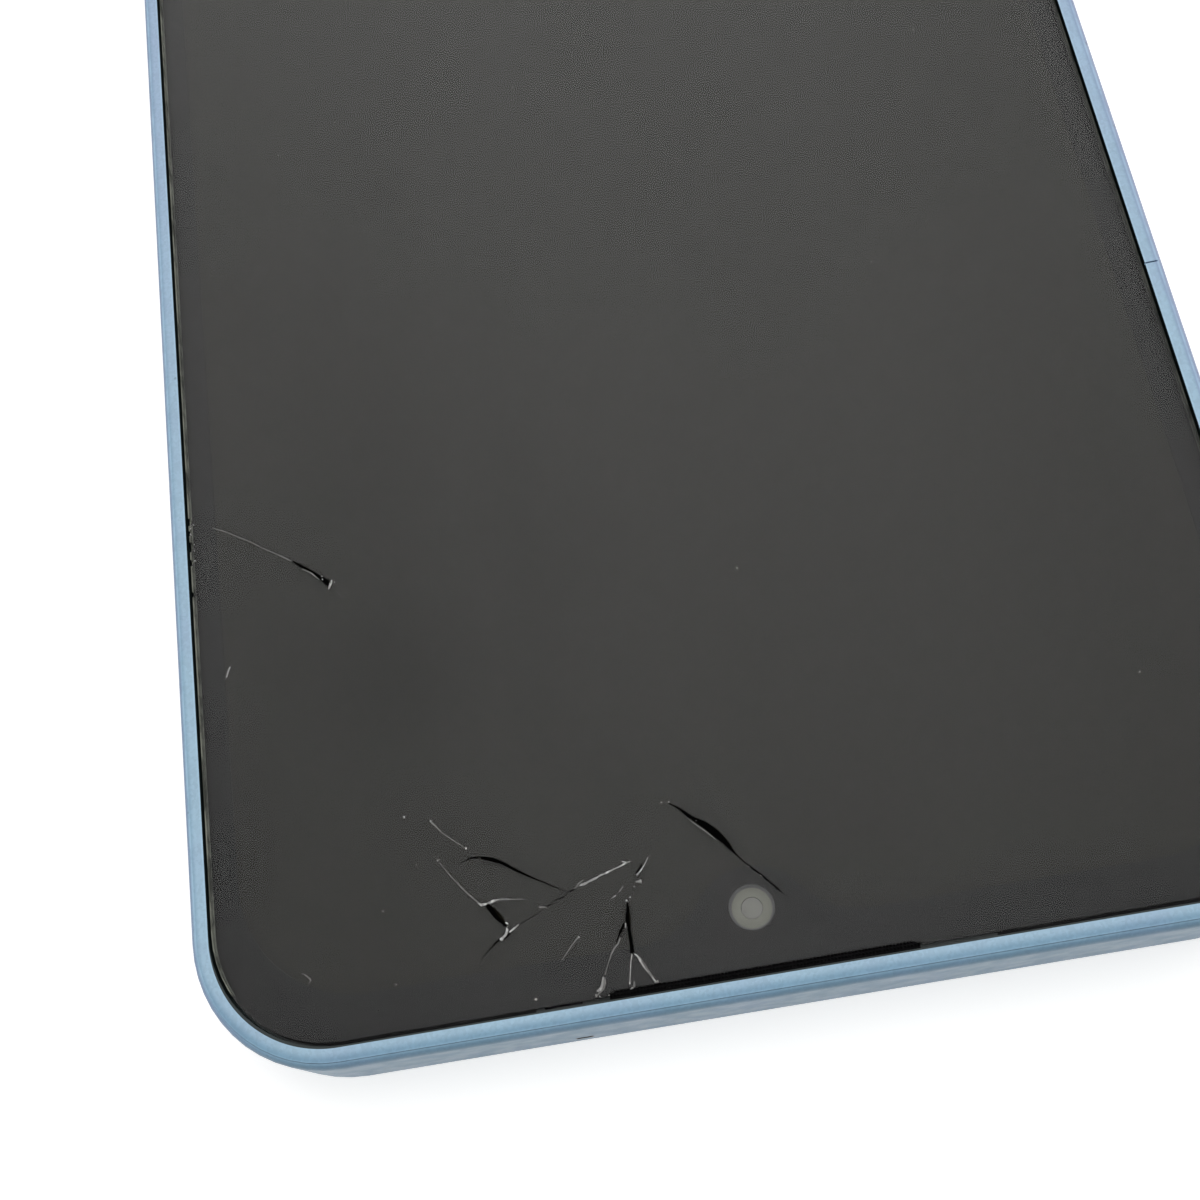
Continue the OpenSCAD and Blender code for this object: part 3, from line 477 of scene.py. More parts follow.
    def _colour(self, sheet: Sheet) -> Socket:
        """Gives the pearl colour, which drifts in soft clouds and turns darker with the surface's facing as
        painted shade.

        Args:
            sheet: The sheet to draw on.

        Returns:
            The paint's colour.
        """
        cloud = sheet.span(sheet.noise(330, 4, 0.6), 0.25, 0.75)
        paint = sheet.mix(cloud, shade(self.colour, 0.965), shade(self.colour, 1.03))
        # Side-facing surfaces turn lilac: the pearl's colour shift, made darker as painted shade.
        side = sheet.times(sheet.span(sheet.facing("X"), 0.15, 0.8), 0.85)
        paint = sheet.mix(side, paint, self.lilac)
        # End-facing surfaces turn a much darker blue: painted shade.
        end = sheet.times(sheet.span(sheet.facing("Y"), 0.3, 0.9), 0.85)
        paint = sheet.mix(end, paint, self.end_shade)
        hue = sheet.span(sheet.noise(210, 3, 0.6, sheet.place(shift=(0.3, 0, 0))), 0.4, 0.7, 0.0, 0.22)
        paint = sheet.mix(hue, paint, self.lilac)
        glint = sheet.span(sheet.cells(5200).outputs["Color"], 0.1, 0.9, 0.94, 1.05)
        distant = sheet.span(sheet.axis("Y"), 55 * MM, -20 * MM, 0.0, 0.5)
        return sheet.mix(1.0, sheet.mix(distant, paint, self.lilac), glint, "MULTIPLY")

    def _port(self, sheet: Sheet) -> Socket:
        """Gives where painted shade darkens the microphone slot in the earpiece end and round it.

        Args:
            sheet: The sheet to draw on.

        Returns:
            The slot's share, from 0 to 1.
        """
        # Painted shade: a dark patch a little larger than the slot itself.
        across = sheet.span(sheet.off("X", self.port_mm[0]), 0.66 * MM, 0.56 * MM)
        up = sheet.span(sheet.off("Z", self.port_mm[1]), 0.5 * MM, 0.34 * MM)
        end = sheet.calc("GREATER_THAN", sheet.axis("Y"), self.port_end_mm * MM)
        return sheet.times(sheet.times(across, up), end)

    def _specks(self, sheet: Sheet) -> Socket:
        """Gives the share of small dirt specks, which lie in loose patches.

        Args:
            sheet: The sheet to draw on.

        Returns:
            The specks' share, from 0 to 1.
        """
        patch = sheet.span(sheet.noise(140, 2), 0.5, 0.6)
        dots = sheet.cells(760)
        some = sheet.calc("GREATER_THAN", dots.outputs["Color"], 0.6)
        round_dot = sheet.span(dots.outputs["Distance"], 0.11, 0.05, 0.0, 0.5)
        return sheet.times(round_dot, sheet.times(some, patch))


@dataclass(frozen=True)
class ClearGlass(Finish):
    """Clear glass with faint greasy smudges and, as a pane, a hazy film that is partly painted reflection
    and a ground edge with a painted highlight.

    Attributes:
        bend: The refractive index.
        smear: How much the smudges dim it at most.
        outline: The outline of the pane, or None for a small part.
        ground: The colour of the ground edge along the sides where its painted highlight is full.
        edge_mm: How wide the ground edge is.
        film_near: How strong the pane's film, partly haze and partly painted reflection, is at the earpiece
            end.
        film_far: The same at the other end.
        wiped_mm: The middle of a patch with less film.
        side_mm: Past this far across, the pane's edge is ground.
        unlit: How the ground edge shows where it has no painted highlight.
    """

    bend: float = 1.5
    smear: float = 0.06
    outline: Outline | None = None
    ground: Colour = (0.2, 0.21, 0.18)
    edge_mm: float = 0.09
    film_near: float = 0.0232
    film_far: float = 0.0594
    wiped_mm: Step = (21.5, 57.0, 8.7)
    side_mm: float = 35.5
    unlit: Colour = (0.004, 0.006, 0.006)

    def fill(self, sheet: Sheet) -> None:
        """Lays clear glass with smudges, and a pane's film and edge.

        Args:
            sheet: The sheet to fill in.
        """
        wipes = sheet.noise(38, 5, 0.65, sheet.place((1, 0.35, 1), (0, 0, 32)))
        prints = sheet.span(wipes, 0.5, 0.75)
        tone = sheet.mix(prints, self.colour, shade(self.colour, 1 - self.smear))
        feeds = {"IOR": self.bend, "Roughness": 0.0, "Transmission Weight": 1.0}
        if self.outline:
            side = sheet.calc("GREATER_THAN", sheet.off("X"), self.side_mm * MM)
            rim = sheet.calc("GREATER_THAN", sheet.past(self.outline), -self.edge_mm * MM)
            edge = sheet.times(rim, side)
            # Painted highlight on the ground edge: brighter towards +X and in uneven lengths.
            across = sheet.span(sheet.axis("X"), -30 * MM, 30 * MM, 0.3, 1.0)
            edge_highlight = sheet.times(sheet.span(sheet.noise(420, 4, 0.6), 0.35, 0.62, 0.25, 1.0), across)
            tone = sheet.mix(edge, tone, sheet.mix(edge_highlight, self.unlit, self.ground))
            clear = sheet.calc("SUBTRACT", 1.0, self._haze_and_reflection(sheet))
            inner = sheet.calc("SUBTRACT", 1.0, edge)
            feeds["Transmission Weight"] = sheet.times(clear, inner)
            feeds["Roughness"] = sheet.times(edge, 0.6)
            feeds["Specular IOR Level"] = 0.03
        sheet.dress({"Base Color": tone, **feeds})

    def _haze_and_reflection(self, sheet: Sheet) -> Socket:
        """Gives the pane's film, a haze that is partly painted reflection: more towards the far end, less at
        the sides and where wiped.

        Args:
            sheet: The sheet to draw on.

        Returns:
            The haze, as a share from 0 to 1.
        """
        # Painted reflection: the film grows towards the far end, where the bright surround shows in the
        # glass.
        along = sheet.add("MapRange", {"Value": sheet.axis("Y"), "From Min": 0.083, "From Max": -0.083})
        sheet.feed(along.inputs["To Min"], self.film_near)
        sheet.feed(along.inputs["To Max"], self.film_far)
        left = sheet.span(sheet.axis("X"), 6 * MM, 34 * MM, 1.0, 0.87)
        right = sheet.span(sheet.axis("X"), -14 * MM, -32 * MM, 1.0, 0.9)
        wiped = sheet.span(sheet.gap_to(self.wiped_mm), 1 * MM, 9 * MM, 0.92, 1.0)
        grain = sheet.span(sheet.noise(7600, 1), 0.3, 0.7, 0.96, 1.04)
        film = sheet.times(along.outputs["Result"], sheet.times(left, right))
        return sheet.times(film, sheet.times(wiped, grain))


@dataclass(frozen=True)
class Moulded(Finish):
    """Matt or satin plastic, tape or ink with a fine grain.

    Attributes:
        rough: Its mean roughness.
        grain_scale: How many grains a metre holds.
        grain_mm: How deep the grain is.
        gloss: The specular level.
    """

    rough: float = 0.5
    grain_scale: float = 3000.0
    grain_mm: float = 0.01
    gloss: float = 0.5

    def fill(self, sheet: Sheet) -> None:
        """Lays a colour with grain and a slow drift.

        Args:
            sheet: The sheet to fill in.
        """
        grain = sheet.noise(self.grain_scale, 3, 0.6)
        drift = sheet.noise(self.grain_scale / 14, 2)
        tone = sheet.mix(drift, shade(self.colour, 0.82), shade(self.colour, 1.18))
        tone = sheet.mix(sheet.span(grain, 0.35, 0.65, 0.0, 0.35), tone, shade(self.colour, 0.6))
        sheet.dress({
            "Base Color": tone,
            "Roughness": sheet.span(drift, 0.3, 0.7, self.rough * 0.88, min(1.0, self.rough * 1.12)),
            "Specular IOR Level": self.gloss,
        })
        sheet.bump(grain, self.grain_mm, 0.6)


class Lay(Enum):
    """How the fine lines on worked metal run: straight along the phone, or in rings."""

    STRAIGHT = "straight"
    TURNED = "turned"


@dataclass(frozen=True)
class WorkedMetal(Finish):
    """Brushed, drawn or turned metal.

    Attributes:
        rough: Its mean roughness.
        lay: The way its lines run.
        line_scale: How many lines a metre holds.
        centre_mm: The middle of turned rings.
    """

    rough: float = 0.32
    lay: Lay = Lay.STRAIGHT
    line_scale: float = 2600.0
    centre_mm: Point = (0.0, 0.0)

    def fill(self, sheet: Sheet) -> None:
        """Lays metal with fine lines and small stains.

        Args:
            sheet: The sheet to fill in.
        """
        if self.lay is Lay.TURNED:
            middle = sheet.place(shift=(-self.centre_mm[0] * MM, -self.centre_mm[1] * MM, 0))
            feeds = {"Vector": middle, "Scale": self.line_scale, "Distortion": 0.4}
            lines = sheet.add("TexWave", feeds, wave_type="RINGS", rings_direction="Z").outputs["Fac"]
        else:
            lines = sheet.noise(self.line_scale, 2, 0.6, sheet.place((1, 0.02, 1)))
        stains = sheet.noise(340, 4, 0.6)
        tone = sheet.mix(sheet.span(lines, 0.2, 0.8), shade(self.colour, 0.86), shade(self.colour, 1.08))
        tone = sheet.mix(sheet.span(stains, 0.52, 0.75, 0.0, 0.35), tone, shade(self.colour, 0.55))
        sheet.dress({
            "Base Color": tone,
            "Metallic": 1.0,
            "Roughness": sheet.span(stains, 0.3, 0.75, self.rough * 0.8, self.rough * 1.35),
        })
        sheet.bump(lines, 0.004, 0.5)


@dataclass(frozen=True)
class Traced(Finish):
    """A printed circuit, stiff or flexible: a lacquer over copper tracks and pads.

    Attributes:
        track: The colour where a track runs under the lacquer.
        pad: The colour of the bare pads.
        pitch_scale: How many tracks a metre holds.
    """

    track: Colour = (0.05, 0.2, 0.09)
    pad: Colour = (0.75, 0.6, 0.3)
    pitch_scale: float = 520.0

    def fill(self, sheet: Sheet) -> None:
        """Lays lacquer, tracks in two directions and scattered pads.

        Args:
            sheet: The sheet to fill in.
        """
        blocks = sheet.cells(self.pitch_scale / 9)
        blocks.distance = "CHEBYCHEV"
        flip = sheet.calc("GREATER_THAN", blocks.outputs["Color"], 0.5)
        along = sheet.waves(self.pitch_scale * 0.6, "X")
        across = sheet.waves(self.pitch_scale * 0.6, "Y")
        tracks = sheet.span(sheet.mix(flip, along, across), 0.55, 0.7)
        tone = sheet.mix(tracks, self.colour, self.track)
        dots = sheet.cells(self.pitch_scale * 1.1)
        dots.inputs["Randomness"].default_value = 0.35
        chosen = sheet.calc("GREATER_THAN", dots.outputs["Color"], 0.72)
        round_pad = sheet.times(sheet.span(dots.outputs["Distance"], 0.3, 0.24), chosen)
        sheet.dress({
            "Base Color": sheet.mix(round_pad, tone, self.pad),
            "Metallic": round_pad,
            "Roughness": sheet.span(sheet.noise(700, 3), 0.3, 0.7, 0.28, 0.45),
        })
        sheet.bump(sheet.calc("ADD", tracks, round_pad), 0.012, 0.6)


@dataclass(frozen=True)
class Foil(Finish):
    """A thin wrap or film with soft creases.

    Attributes:
        rough: Its roughness.
        metal: How metallic it is.
        crease_mm: How deep the creases are.
    """

    rough: float = 0.35
    metal: float = 0.0
    crease_mm: float = 0.05

    def fill(self, sheet: Sheet) -> None:
        """Lays a film with creases and a cloudy sheen.

        Args:
            sheet: The sheet to fill in.
        """
        cloud = sheet.noise(120, 4, 0.6)
        turned = sheet.place((1, 0.5, 1), (0, 0, 20))
        crease = sheet.cells(150, turned, "DISTANCE_TO_EDGE").outputs["Distance"]
        sheet.dress({
            "Base Color": sheet.mix(cloud, shade(self.colour, 0.8), shade(self.colour, 1.15)),
            "Metallic": self.metal,
            "Roughness": sheet.span(cloud, 0.3, 0.7, self.rough * 0.8, self.rough * 1.25),
        })
        sheet.bump(sheet.span(crease, 0.0, 0.08), self.crease_mm, 0.5)


@dataclass(frozen=True)
class DisplayGrid(Finish):
    """The dark display face: a fine grid of cells under its polariser, with a warm haze.

    Attributes:
        cell_scale: How many cells a metre holds.
        smudge_mm: The middle of a darker, pressed patch.
        smudge_r_mm: How far the patch reaches.
    """

    cell_scale: float = 4200.0
    smudge_mm: Step = (21.5, 57.0, 8.0)
    smudge_r_mm: float = 9.0

    def fill(self, sheet: Sheet) -> None:
        """Lays the grid, slow clouding and the pressed patch.

        Args:
            sheet: The sheet to fill in.
        """
        columns = sheet.waves(self.cell_scale * 0.16, "X")
        rows = sheet.waves(self.cell_scale * 0.16, "Y")
        grid = sheet.times(columns, rows)
        cloud = sheet.noise(26, 3, 0.5)
        tone = sheet.mix(cloud, shade(self.colour, 0.93), shade(self.colour, 1.07))
        tone = sheet.mix(sheet.span(grid, 0.2, 0.9, 0.0, 0.25), tone, shade(self.colour, 0.7))
        near = sheet.span(sheet.gap_to(self.smudge_mm), self.smudge_r_mm * MM, 0.0, 0.0, 0.5)
        sheet.dress({
            "Base Color": sheet.mix(near, tone, shade(self.colour, 0.6)),
            "Roughness": sheet.span(cloud, 0.3, 0.7, 0.55, 0.65),
            "Specular IOR Level": 0.0,
        })


@dataclass(frozen=True)
class Weave(Finish):
    """A woven mesh of fine threads, as over an earpiece or a loudspeaker."""

    thread_scale: float = 1400.0

    def fill(self, sheet: Sheet) -> None:
        """Lays two crossing sets of threads with holes between.

        Args:
            sheet: The sheet to fill in.
        """
        warp = sheet.waves(self.thread_scale, "X")
        weft = sheet.waves(self.thread_scale, "Y")
        over = sheet.calc("MAXIMUM", warp, weft)
        sheet.dress({
            "Base Color": sheet.mix(sheet.span(over, 0.4, 0.9), shade(self.colour, 0.15), self.colour),
            "Roughness": sheet.span(over, 0.2, 1.0, 0.95, 0.8),
            "Specular IOR Level": 0.05,
        })
        sheet.bump(over, 0.03, 0.8)


@dataclass(frozen=True)
class CoatedLens(Finish):
    """Dark optical glass with a tinted coating that shows near its rim.

    Attributes:
        tint: The coating's colour.
        centre_mm: The lens's own middle.
        radius_mm: Its radius.
    """

    tint: Colour = (0.05, 0.03, 0.09)
    centre_mm: Point = (0.0, 0.0)
    radius_mm: float = 1.0

    def fill(self, sheet: Sheet) -> None:
        """Lays the coating in soft rings about the middle.

        Args:
            sheet: The sheet to fill in.
        """
        inner, outer = 0.35 * self.radius_mm * MM, 0.95 * self.radius_mm * MM
        ring = sheet.span(sheet.out_from(self.centre_mm), inner, outer)
        dust = sheet.span(sheet.noise(2600, 2), 0.6, 0.75, 0.0, 0.2)
        tone = sheet.mix(ring, self.colour, self.tint)
        sheet.dress({
            "Base Color": sheet.mix(dust, tone, shade(self.colour, 1.6)),
            "Roughness": sheet.span(dust, 0.0, 0.2, 0.06, 0.3),
            "Coat Weight": 0.6,
            "Coat Roughness": 0.03,
        })


@dataclass(frozen=True)
class BarrelEnd(Finish):
    """A camera's black barrel, whose end face is a pale ring in a greyer one.

    Attributes:
        pale: The inner ring's colour.
        grey: The outer ring's colour.
        centre_mm: The barrel's axis.
        face_mm: Above this height it is the end face.
        ring_mm: The pale ring's outer radius.
    """

    pale: Colour = (0.215, 0.22, 0.188)
    grey: Colour = (0.118, 0.12, 0.122)
    centre_mm: Point = (0.0, 0.0)
    face_mm: float = 0.0
    ring_mm: float = 1.34

    def fill(self, sheet: Sheet) -> None:
        """Lays the barrel's black and the rings of its end face.

        Args:
            sheet: The sheet to fill in.
        """
        out = sheet.out_from(self.centre_mm)
        haze = sheet.noise(2200, 3)
        ring = sheet.mix(haze, shade(self.pale, 0.93), shade(self.pale, 1.06))
        rim = sheet.span(out, (self.ring_mm - 0.03) * MM, (self.ring_mm + 0.03) * MM)
        face = sheet.mix(rim, ring, self.grey)
        black = sheet.mix(haze, shade(self.colour, 0.8), shade(self.colour, 1.2))
        top = sheet.calc("GREATER_THAN", sheet.axis("Z"), self.face_mm * MM)
        sheet.dress({
            "Base Color": sheet.mix(top, black, face),
            "Roughness": sheet.span(haze, 0.3, 0.7, 0.55, 0.75),
            "Specular IOR Level": 0.2,
        })
        sheet.bump(haze, 0.004, 0.5)


@dataclass(frozen=True)
class Crushed(Finish):
    """Glass broken so fine that it shows white, with duller grains in it; as crack lines it also stands in
    as painted sheen of the crack faces.

    Attributes:
        dull: The colour of the duller grains.
        grain_scale: How many grains a metre holds.
    """

    dull: Colour = (0.1, 0.1, 0.1)
    grain_scale: float = 5200.0

    def fill(self, sheet: Sheet) -> None:
        """Lays bright facets between dull ones.

        Args:
            sheet: The sheet to fill in.
        """
        facets = sheet.cells(self.grain_scale)
        bright = sheet.span(facets.outputs["Color"], 0.25, 0.8)
        clump = sheet.span(sheet.noise(2600, 2), 0.4, 0.62)
        share = sheet.times(bright, clump)
        sheet.dress({
            "Base Color": sheet.mix(share, self.dull, self.colour),
            "Roughness": sheet.span(facets.outputs["Distance"], 0.0, 0.8, 0.15, 0.5),
            "Specular IOR Level": 0.6,
        })
        sheet.bump(facets.outputs["Distance"], 0.03, 0.8)


# ---------------------------------------------------------------------------------------------
# Modelling
# ---------------------------------------------------------------------------------------------


class Bench:
    """The modelling steps that the hand-made pieces share."""

    @staticmethod
    def clear() -> None:
        """Leaves nothing selected."""
        if bpy.context.mode != "OBJECT":
            bpy.ops.object.mode_set(mode="OBJECT")
        bpy.ops.object.select_all(action="DESELECT")

    @classmethod
    def take(cls, *pieces: bpy.types.Object) -> None:
        """Selects these pieces alone and makes the first one active.

        Args:
            pieces: The pieces.
        """
        cls.clear()
        for piece in pieces:
            piece.select_set(True)
        bpy.context.view_layer.objects.active = pieces[0]

    @classmethod
    def start(cls, name: str, primitive: Callable, **sizes: object) -> bpy.types.Object:
        """Adds a primitive.

        Args:
            name: The new piece's name.
            primitive: The operator that adds it.
            sizes: The operator's own settings, in metres.

        Returns:
            The new object.
        """
        cls.clear()
        primitive(**sizes)
        piece = bpy.context.active_object
        piece.name = name
        piece.data.name = name
        return piece

    @classmethod
    def settle(cls, piece: bpy.types.Object, outward: bool = True) -> bpy.types.Object:
        """Applies place, turn and scale, merges doubles and turns the faces outwards.

        Args:
            piece: The piece to finish.
            outward: Whether its normals are worked out again.

        Returns:
            The same piece.
        """
        cls.take(piece)
        bpy.ops.object.transform_apply(location=True, rotation=True, scale=True)
        if outward:
            bpy.ops.object.mode_set(mode="EDIT")
            bpy.ops.mesh.select_all(action="SELECT")
            bpy.ops.mesh.remove_doubles(threshold=1e-7)
            bpy.ops.mesh.normals_make_consistent(inside=False)
            bpy.ops.object.mode_set(mode="OBJECT")
        return piece

    @classmethod
    def join(cls, name: str, pieces: Sequence[bpy.types.Object]) -> bpy.types.Object:
        """Joins pieces into one.

        Args:
            name: The joined piece's name.
            pieces: The pieces, which the first one takes in.

        Returns:
            The joined piece.
        """
        cls.take(*pieces)
        if len(pieces) > 1:
            bpy.ops.object.join()
        joined = bpy.context.active_object
        joined.name = name
        joined.data.name = name
        return joined

    @classmethod
    def copy(cls, piece: bpy.types.Object, place: Matrix) -> bpy.types.Object:
        """Copies a piece with its own mesh and puts it in place.

        Args:
            piece: The piece to copy.
            place: Where the copy goes.

        Returns:
            The copy.
        """
        twin = piece.copy()
        twin.data = piece.data.copy()
        twin.data.transform(place)
        bpy.context.scene.collection.objects.link(twin)
        return twin

    @classmethod
    def cut_out(cls, name: str, outline: Sequence[Point], low_mm: float, high_mm: float) -> bpy.types.Object:
        """Draws an outline point by point, fills it and raises it into a thin plate.

        Args:
            name: The plate's name.
            outline: The outline's points in mm.
            low_mm: The height of its underside.
            high_mm: The height of its top.

        Returns:
            The plate.
        """
        piece = cls.start(name, bpy.ops.mesh.primitive_plane_add, size=MM)
        with Editing(piece):
            bpy.ops.mesh.select_mode(type="VERT")
            bpy.ops.mesh.select_all(action="SELECT")
            bpy.ops.mesh.merge(type="CENTER")
            bpy.ops.mesh.select_all(action="SELECT")
            bpy.ops.transform.translate(value=(outline[0][0] * MM, outline[0][1] * MM, low_mm * MM))
            for last, point in zip(outline, outline[1:]):
                step = ((point[0] - last[0]) * MM, (point[1] - last[1]) * MM, 0)
                bpy.ops.mesh.extrude_region_move(TRANSFORM_OT_translate={"value": step})
            bpy.ops.mesh.select_all(action="SELECT")
            bpy.ops.mesh.edge_face_add()
            rise = (0, 0, (high_mm - low_mm) * MM)
            bpy.ops.mesh.extrude_region_move(TRANSFORM_OT_translate={"value": rise})
        return cls.settle(piece)

    @staticmethod
    def drop(piece: bpy.types.Object) -> None:
        """Removes a pattern piece that only its copies were needed of."""
        bpy.data.objects.remove(piece)


class Editing:
    """Edit mode on one piece."""

    def __init__(self, piece: bpy.types.Object) -> None:
        """Keeps the piece to edit."""
        self.piece = piece

    def __enter__(self) -> "Editing":
        """Opens edit mode with nothing selected.

        Returns:
            This editor.
        """
        Bench.take(self.piece)
        bpy.ops.object.mode_set(mode="EDIT")
        bpy.ops.mesh.select_mode(type="FACE")
        bpy.ops.mesh.select_all(action="DESELECT")
        return self

    def __exit__(self, *_: object) -> None:
        """Goes back to object mode."""
        bpy.ops.object.mode_set(mode="OBJECT")


# ---------------------------------------------------------------------------------------------
# The finishes of this phone
# ---------------------------------------------------------------------------------------------

SKY_BLUE = (0.335, 0.5, 0.635)
FRAME_PEARL = PearlPaint("frame_pearl_blue", SKY_BLUE)
COVER_PEARL = PearlPaint("cover_pearl_blue", shade(SKY_BLUE, 0.98), shell=0.6, back_mm=0.87, highlights_mm=(0.36,))
KEY_PEARL = PearlPaint("key_pearl_blue", shade(SKY_BLUE, 0.98), shell=1.02, highlights_mm=(-0.3,))
FRONT_GLASS = ClearGlass(
    "front_glass_clear", (0.98, 0.985, 0.985),
    bend=1.12, outline=Outline(36.7, 81.27, 8.45),
)
INK = Moulded(
    "border_ink_black", (0.0022, 0.0022, 0.0026),
    rough=0.6, grain_scale=9000, grain_mm=0.002, gloss=0.0,
)
PANEL = DisplayGrid("display_face", (0.0088, 0.0082, 0.0056))
TAPE = Moulded(
    "foam_tape_black", (0.012, 0.012, 0.013),
    rough=0.85, grain_scale=5200, grain_mm=0.03, gloss=0.2,
)
BACKLIGHT = Foil("backlight_white_film", (0.72, 0.74, 0.75), rough=0.3, crease_mm=0.01)
AMBER = Traced("amber_flex_circuit", (0.40, 0.17, 0.035), track=(0.52, 0.26, 0.07), pitch_scale=900)
MESH = Weave("mesh_black_weave", (0.006, 0.006, 0.0065))
PLASTIC = Moulded(
    "bracket_black_plastic", (0.022, 0.022, 0.024),
    rough=0.48, grain_scale=2600, grain_mm=0.012,
)
CAMERA_BODY = Moulded(
    "camera_barrel_black", (0.014, 0.014, 0.015),
    rough=0.4, grain_scale=4200, grain_mm=0.004,
)
GASKET = Moulded(
    "camera_gasket_grey", (0.1, 0.1, 0.105),
    rough=0.8, grain_scale=5200, grain_mm=0.008, gloss=0.2,
)
SENSOR = Moulded(
    "light_sensor_violet", (0.04, 0.022, 0.05),
    rough=0.25, grain_scale=2600, grain_mm=0.002,
)
GOLD = WorkedMetal("gold_plated_can", (0.78, 0.58, 0.28), rough=0.28, line_scale=3400)
STEEL = WorkedMetal("stamped_bright_steel", (0.6, 0.6, 0.61), rough=0.3)
SCREWS = WorkedMetal("screw_dark_steel", (0.19, 0.19, 0.2), rough=0.36, line_scale=5200)
BOARD = Traced("board_green_lacquer", (0.012, 0.085, 0.035), track=(0.03, 0.16, 0.07))
CHIP = Moulded("chip_black_epoxy", (0.02, 0.02, 0.022), rough=0.55, grain_scale=4600, grain_mm=0.01)
WINDOW = Moulded(
    "rear_window_black_glass", (0.008, 0.008, 0.009),
    rough=0.06, grain_scale=90, grain_mm=0.0008,
)
WRAP = Foil("battery_black_wrap", (0.03, 0.03, 0.033), rough=0.4)
PULL = Foil("pull_tab_white", (0.74, 0.73, 0.68), rough=0.5, crease_mm=0.02)
CABLE = Moulded(
    "antenna_cable_black", (0.018, 0.018, 0.02),
    rough=0.45, grain_scale=5200, grain_mm=0.004,
)
LED = Moulded("flash_phosphor_yellow", (0.72, 0.52, 0.09), rough=0.6, grain_scale=6200, grain_mm=0.01)
# The crack lines' white and grey are partly crushed glass and partly painted sheen of the crack faces.
BROKEN = Crushed("crushed_glass_and_sheen_white", (0.7, 0.71, 0.7), dull=(0.25, 0.25, 0.245))
FAINT = Crushed("crushed_glass_and_sheen_faint", (0.22, 0.22, 0.215), dull=(0.11, 0.11, 0.106))
# Black laid in the open cracks as painted shade.
CRACK_GAP_SHADE = Moulded(
    "crack_gap_shade_black", (0.0012, 0.0012, 0.0012),
    rough=1.0, grain_scale=9000, grain_mm=0.01, gloss=0.0,
)
LINT = Moulded("lint_pale", (0.5, 0.5, 0.47), rough=0.9, grain_scale=9000, grain_mm=0.01, gloss=0.1)


def node(name: str) -> bpy.types.Object:
    """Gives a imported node's object by its name."""
    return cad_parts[name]


def middle_mm(name: str) -> Vector:
    """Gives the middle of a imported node's box in millimetres."""
    low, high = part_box(name)
    return (low + high) / 2 / MM


# ---------------------------------------------------------------------------------------------
# Sub-assemblies
# ---------------------------------------------------------------------------------------------


@dataclass
class Housing:
    """The painted outside: the frame with its rim, the back cover, the keys and the card tray."""

    small_parts: tuple[str, ...] = ("sim_tray", "power_key", "volume_key")

    def dress(self) -> None:
        """Paints the housing's nodes."""
        FRAME_PEARL.put_on(node("mid_frame"))
        COVER_PEARL.put_on(node("back_cover"))
        KEY_PEARL.put_on(*(node(name) for name in self.small_parts))
        log.info("housing painted")


@dataclass
class FrontPanel:
    """The glass with its black print, and the display under it."""

    def dress(self) -> None:
        """Puts the finishes on the glass, the print and the display layers."""
        FRONT_GLASS.put_on(node("cover_glass"))
        INK.put_on(node("border_print"))
        PANEL.put_on(node("display_panel"))
        TAPE.put_on(node("display_adhesive"))
        BACKLIGHT.put_on(node("backlight_unit"))
        AMBER.put_on(node("display_flex"))
        MESH.put_on(node("earpiece_mesh"))
        log.info("front panel dressed")


@dataclass
class FrontCamera:
    """The camera and the sensors behind the front glass."""

    def dress(self) -> None:
        """Puts the finishes on the front camera's parts."""
        lens = middle_mm("front_camera_lens")
        centre = (lens.x, lens.y)
        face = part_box("front_camera")[1].z / MM - 0.1
        barrel = BarrelEnd("front_barrel_end", CAMERA_BODY.colour, centre_mm=centre, face_mm=face)
        barrel.put_on(node("front_camera"))
        GASKET.put_on(node("camera_gasket"))
        # The lens's light grey is painted reflection of the bright surround.
        glass, tint = (0.165, 0.168, 0.148), (0.15, 0.153, 0.138)
        CoatedLens("front_lens_reflection_grey", glass, tint=tint, centre_mm=centre, radius_mm=0.7).put_on(
            node("front_camera_lens")
        )
        log.info("front camera dressed")


@dataclass
class Inside:
    """Everything under the display that only shows when the phone is opened."""

    def dress(self) -> None:
        """Puts each inner node's finish on, as the table below gives it."""
        lenses = middle_mm("camera_lens_covers")
        centre = (lenses.x, lenses.y)
        rings = WorkedMetal(
            "lens_ring_metal", (0.55, 0.6, 0.66), rough=0.25, lay=Lay.TURNED, line_scale=900,
            centre_mm=centre,
        )
        covers = CoatedLens(
            "rear_lens_coated", (0.006, 0.006, 0.009), tint=(0.03, 0.015, 0.06),
            centre_mm=centre, radius_mm=3.0,
        )
        flash = ClearGlass("flash_lens_clear", (0.97, 0.97, 0.93), bend=1.45, smear=0.2)
        for finish, names in (
            (AMBER, ("key_flex", "battery_lead", "main_flex")),
            (MESH, ("speaker_mesh",)),
            (PLASTIC, ("earpiece_speaker", "upper_bracket", "headphone_jack", "loudspeaker")),
            (CAMERA_BODY, ("rear_camera_main", "rear_camera_second")),
            (SENSOR, ("proximity_sensor",)),
            (GOLD, ("top_microphone", "bottom_microphone")),
            (BOARD, ("main_board", "sub_board")),
            (STEEL, ("front_shield_can", "rear_shield_can", "sim_reader", "usb_port", "vibration_motor")),
            (CHIP, ("processor_chip", "memory_chip")),
            (WINDOW, ("rear_camera_window",)),
            (rings, ("camera_rings",)),
            (covers, ("camera_lens_covers",)),
            (LED, ("flash_led",)),
            (flash, ("flash_lens",)),
            (WRAP, ("battery",)),
            (PULL, ("battery_adhesive",)),
            (CABLE, ("antenna_cable",)),
            (SCREWS, ("screws",)),
        ):
            finish.put_on(*(node(name) for name in names))
        log.info("inner parts dressed")


class Tone(Enum):
    """How a crack shows: an open gap laid black as painted shade, crushed white glass that is partly painted
    sheen, or a faint line.
    """

    OPEN = CRACK_GAP_SHADE
    WHITE = BROKEN
    FAINT = FAINT


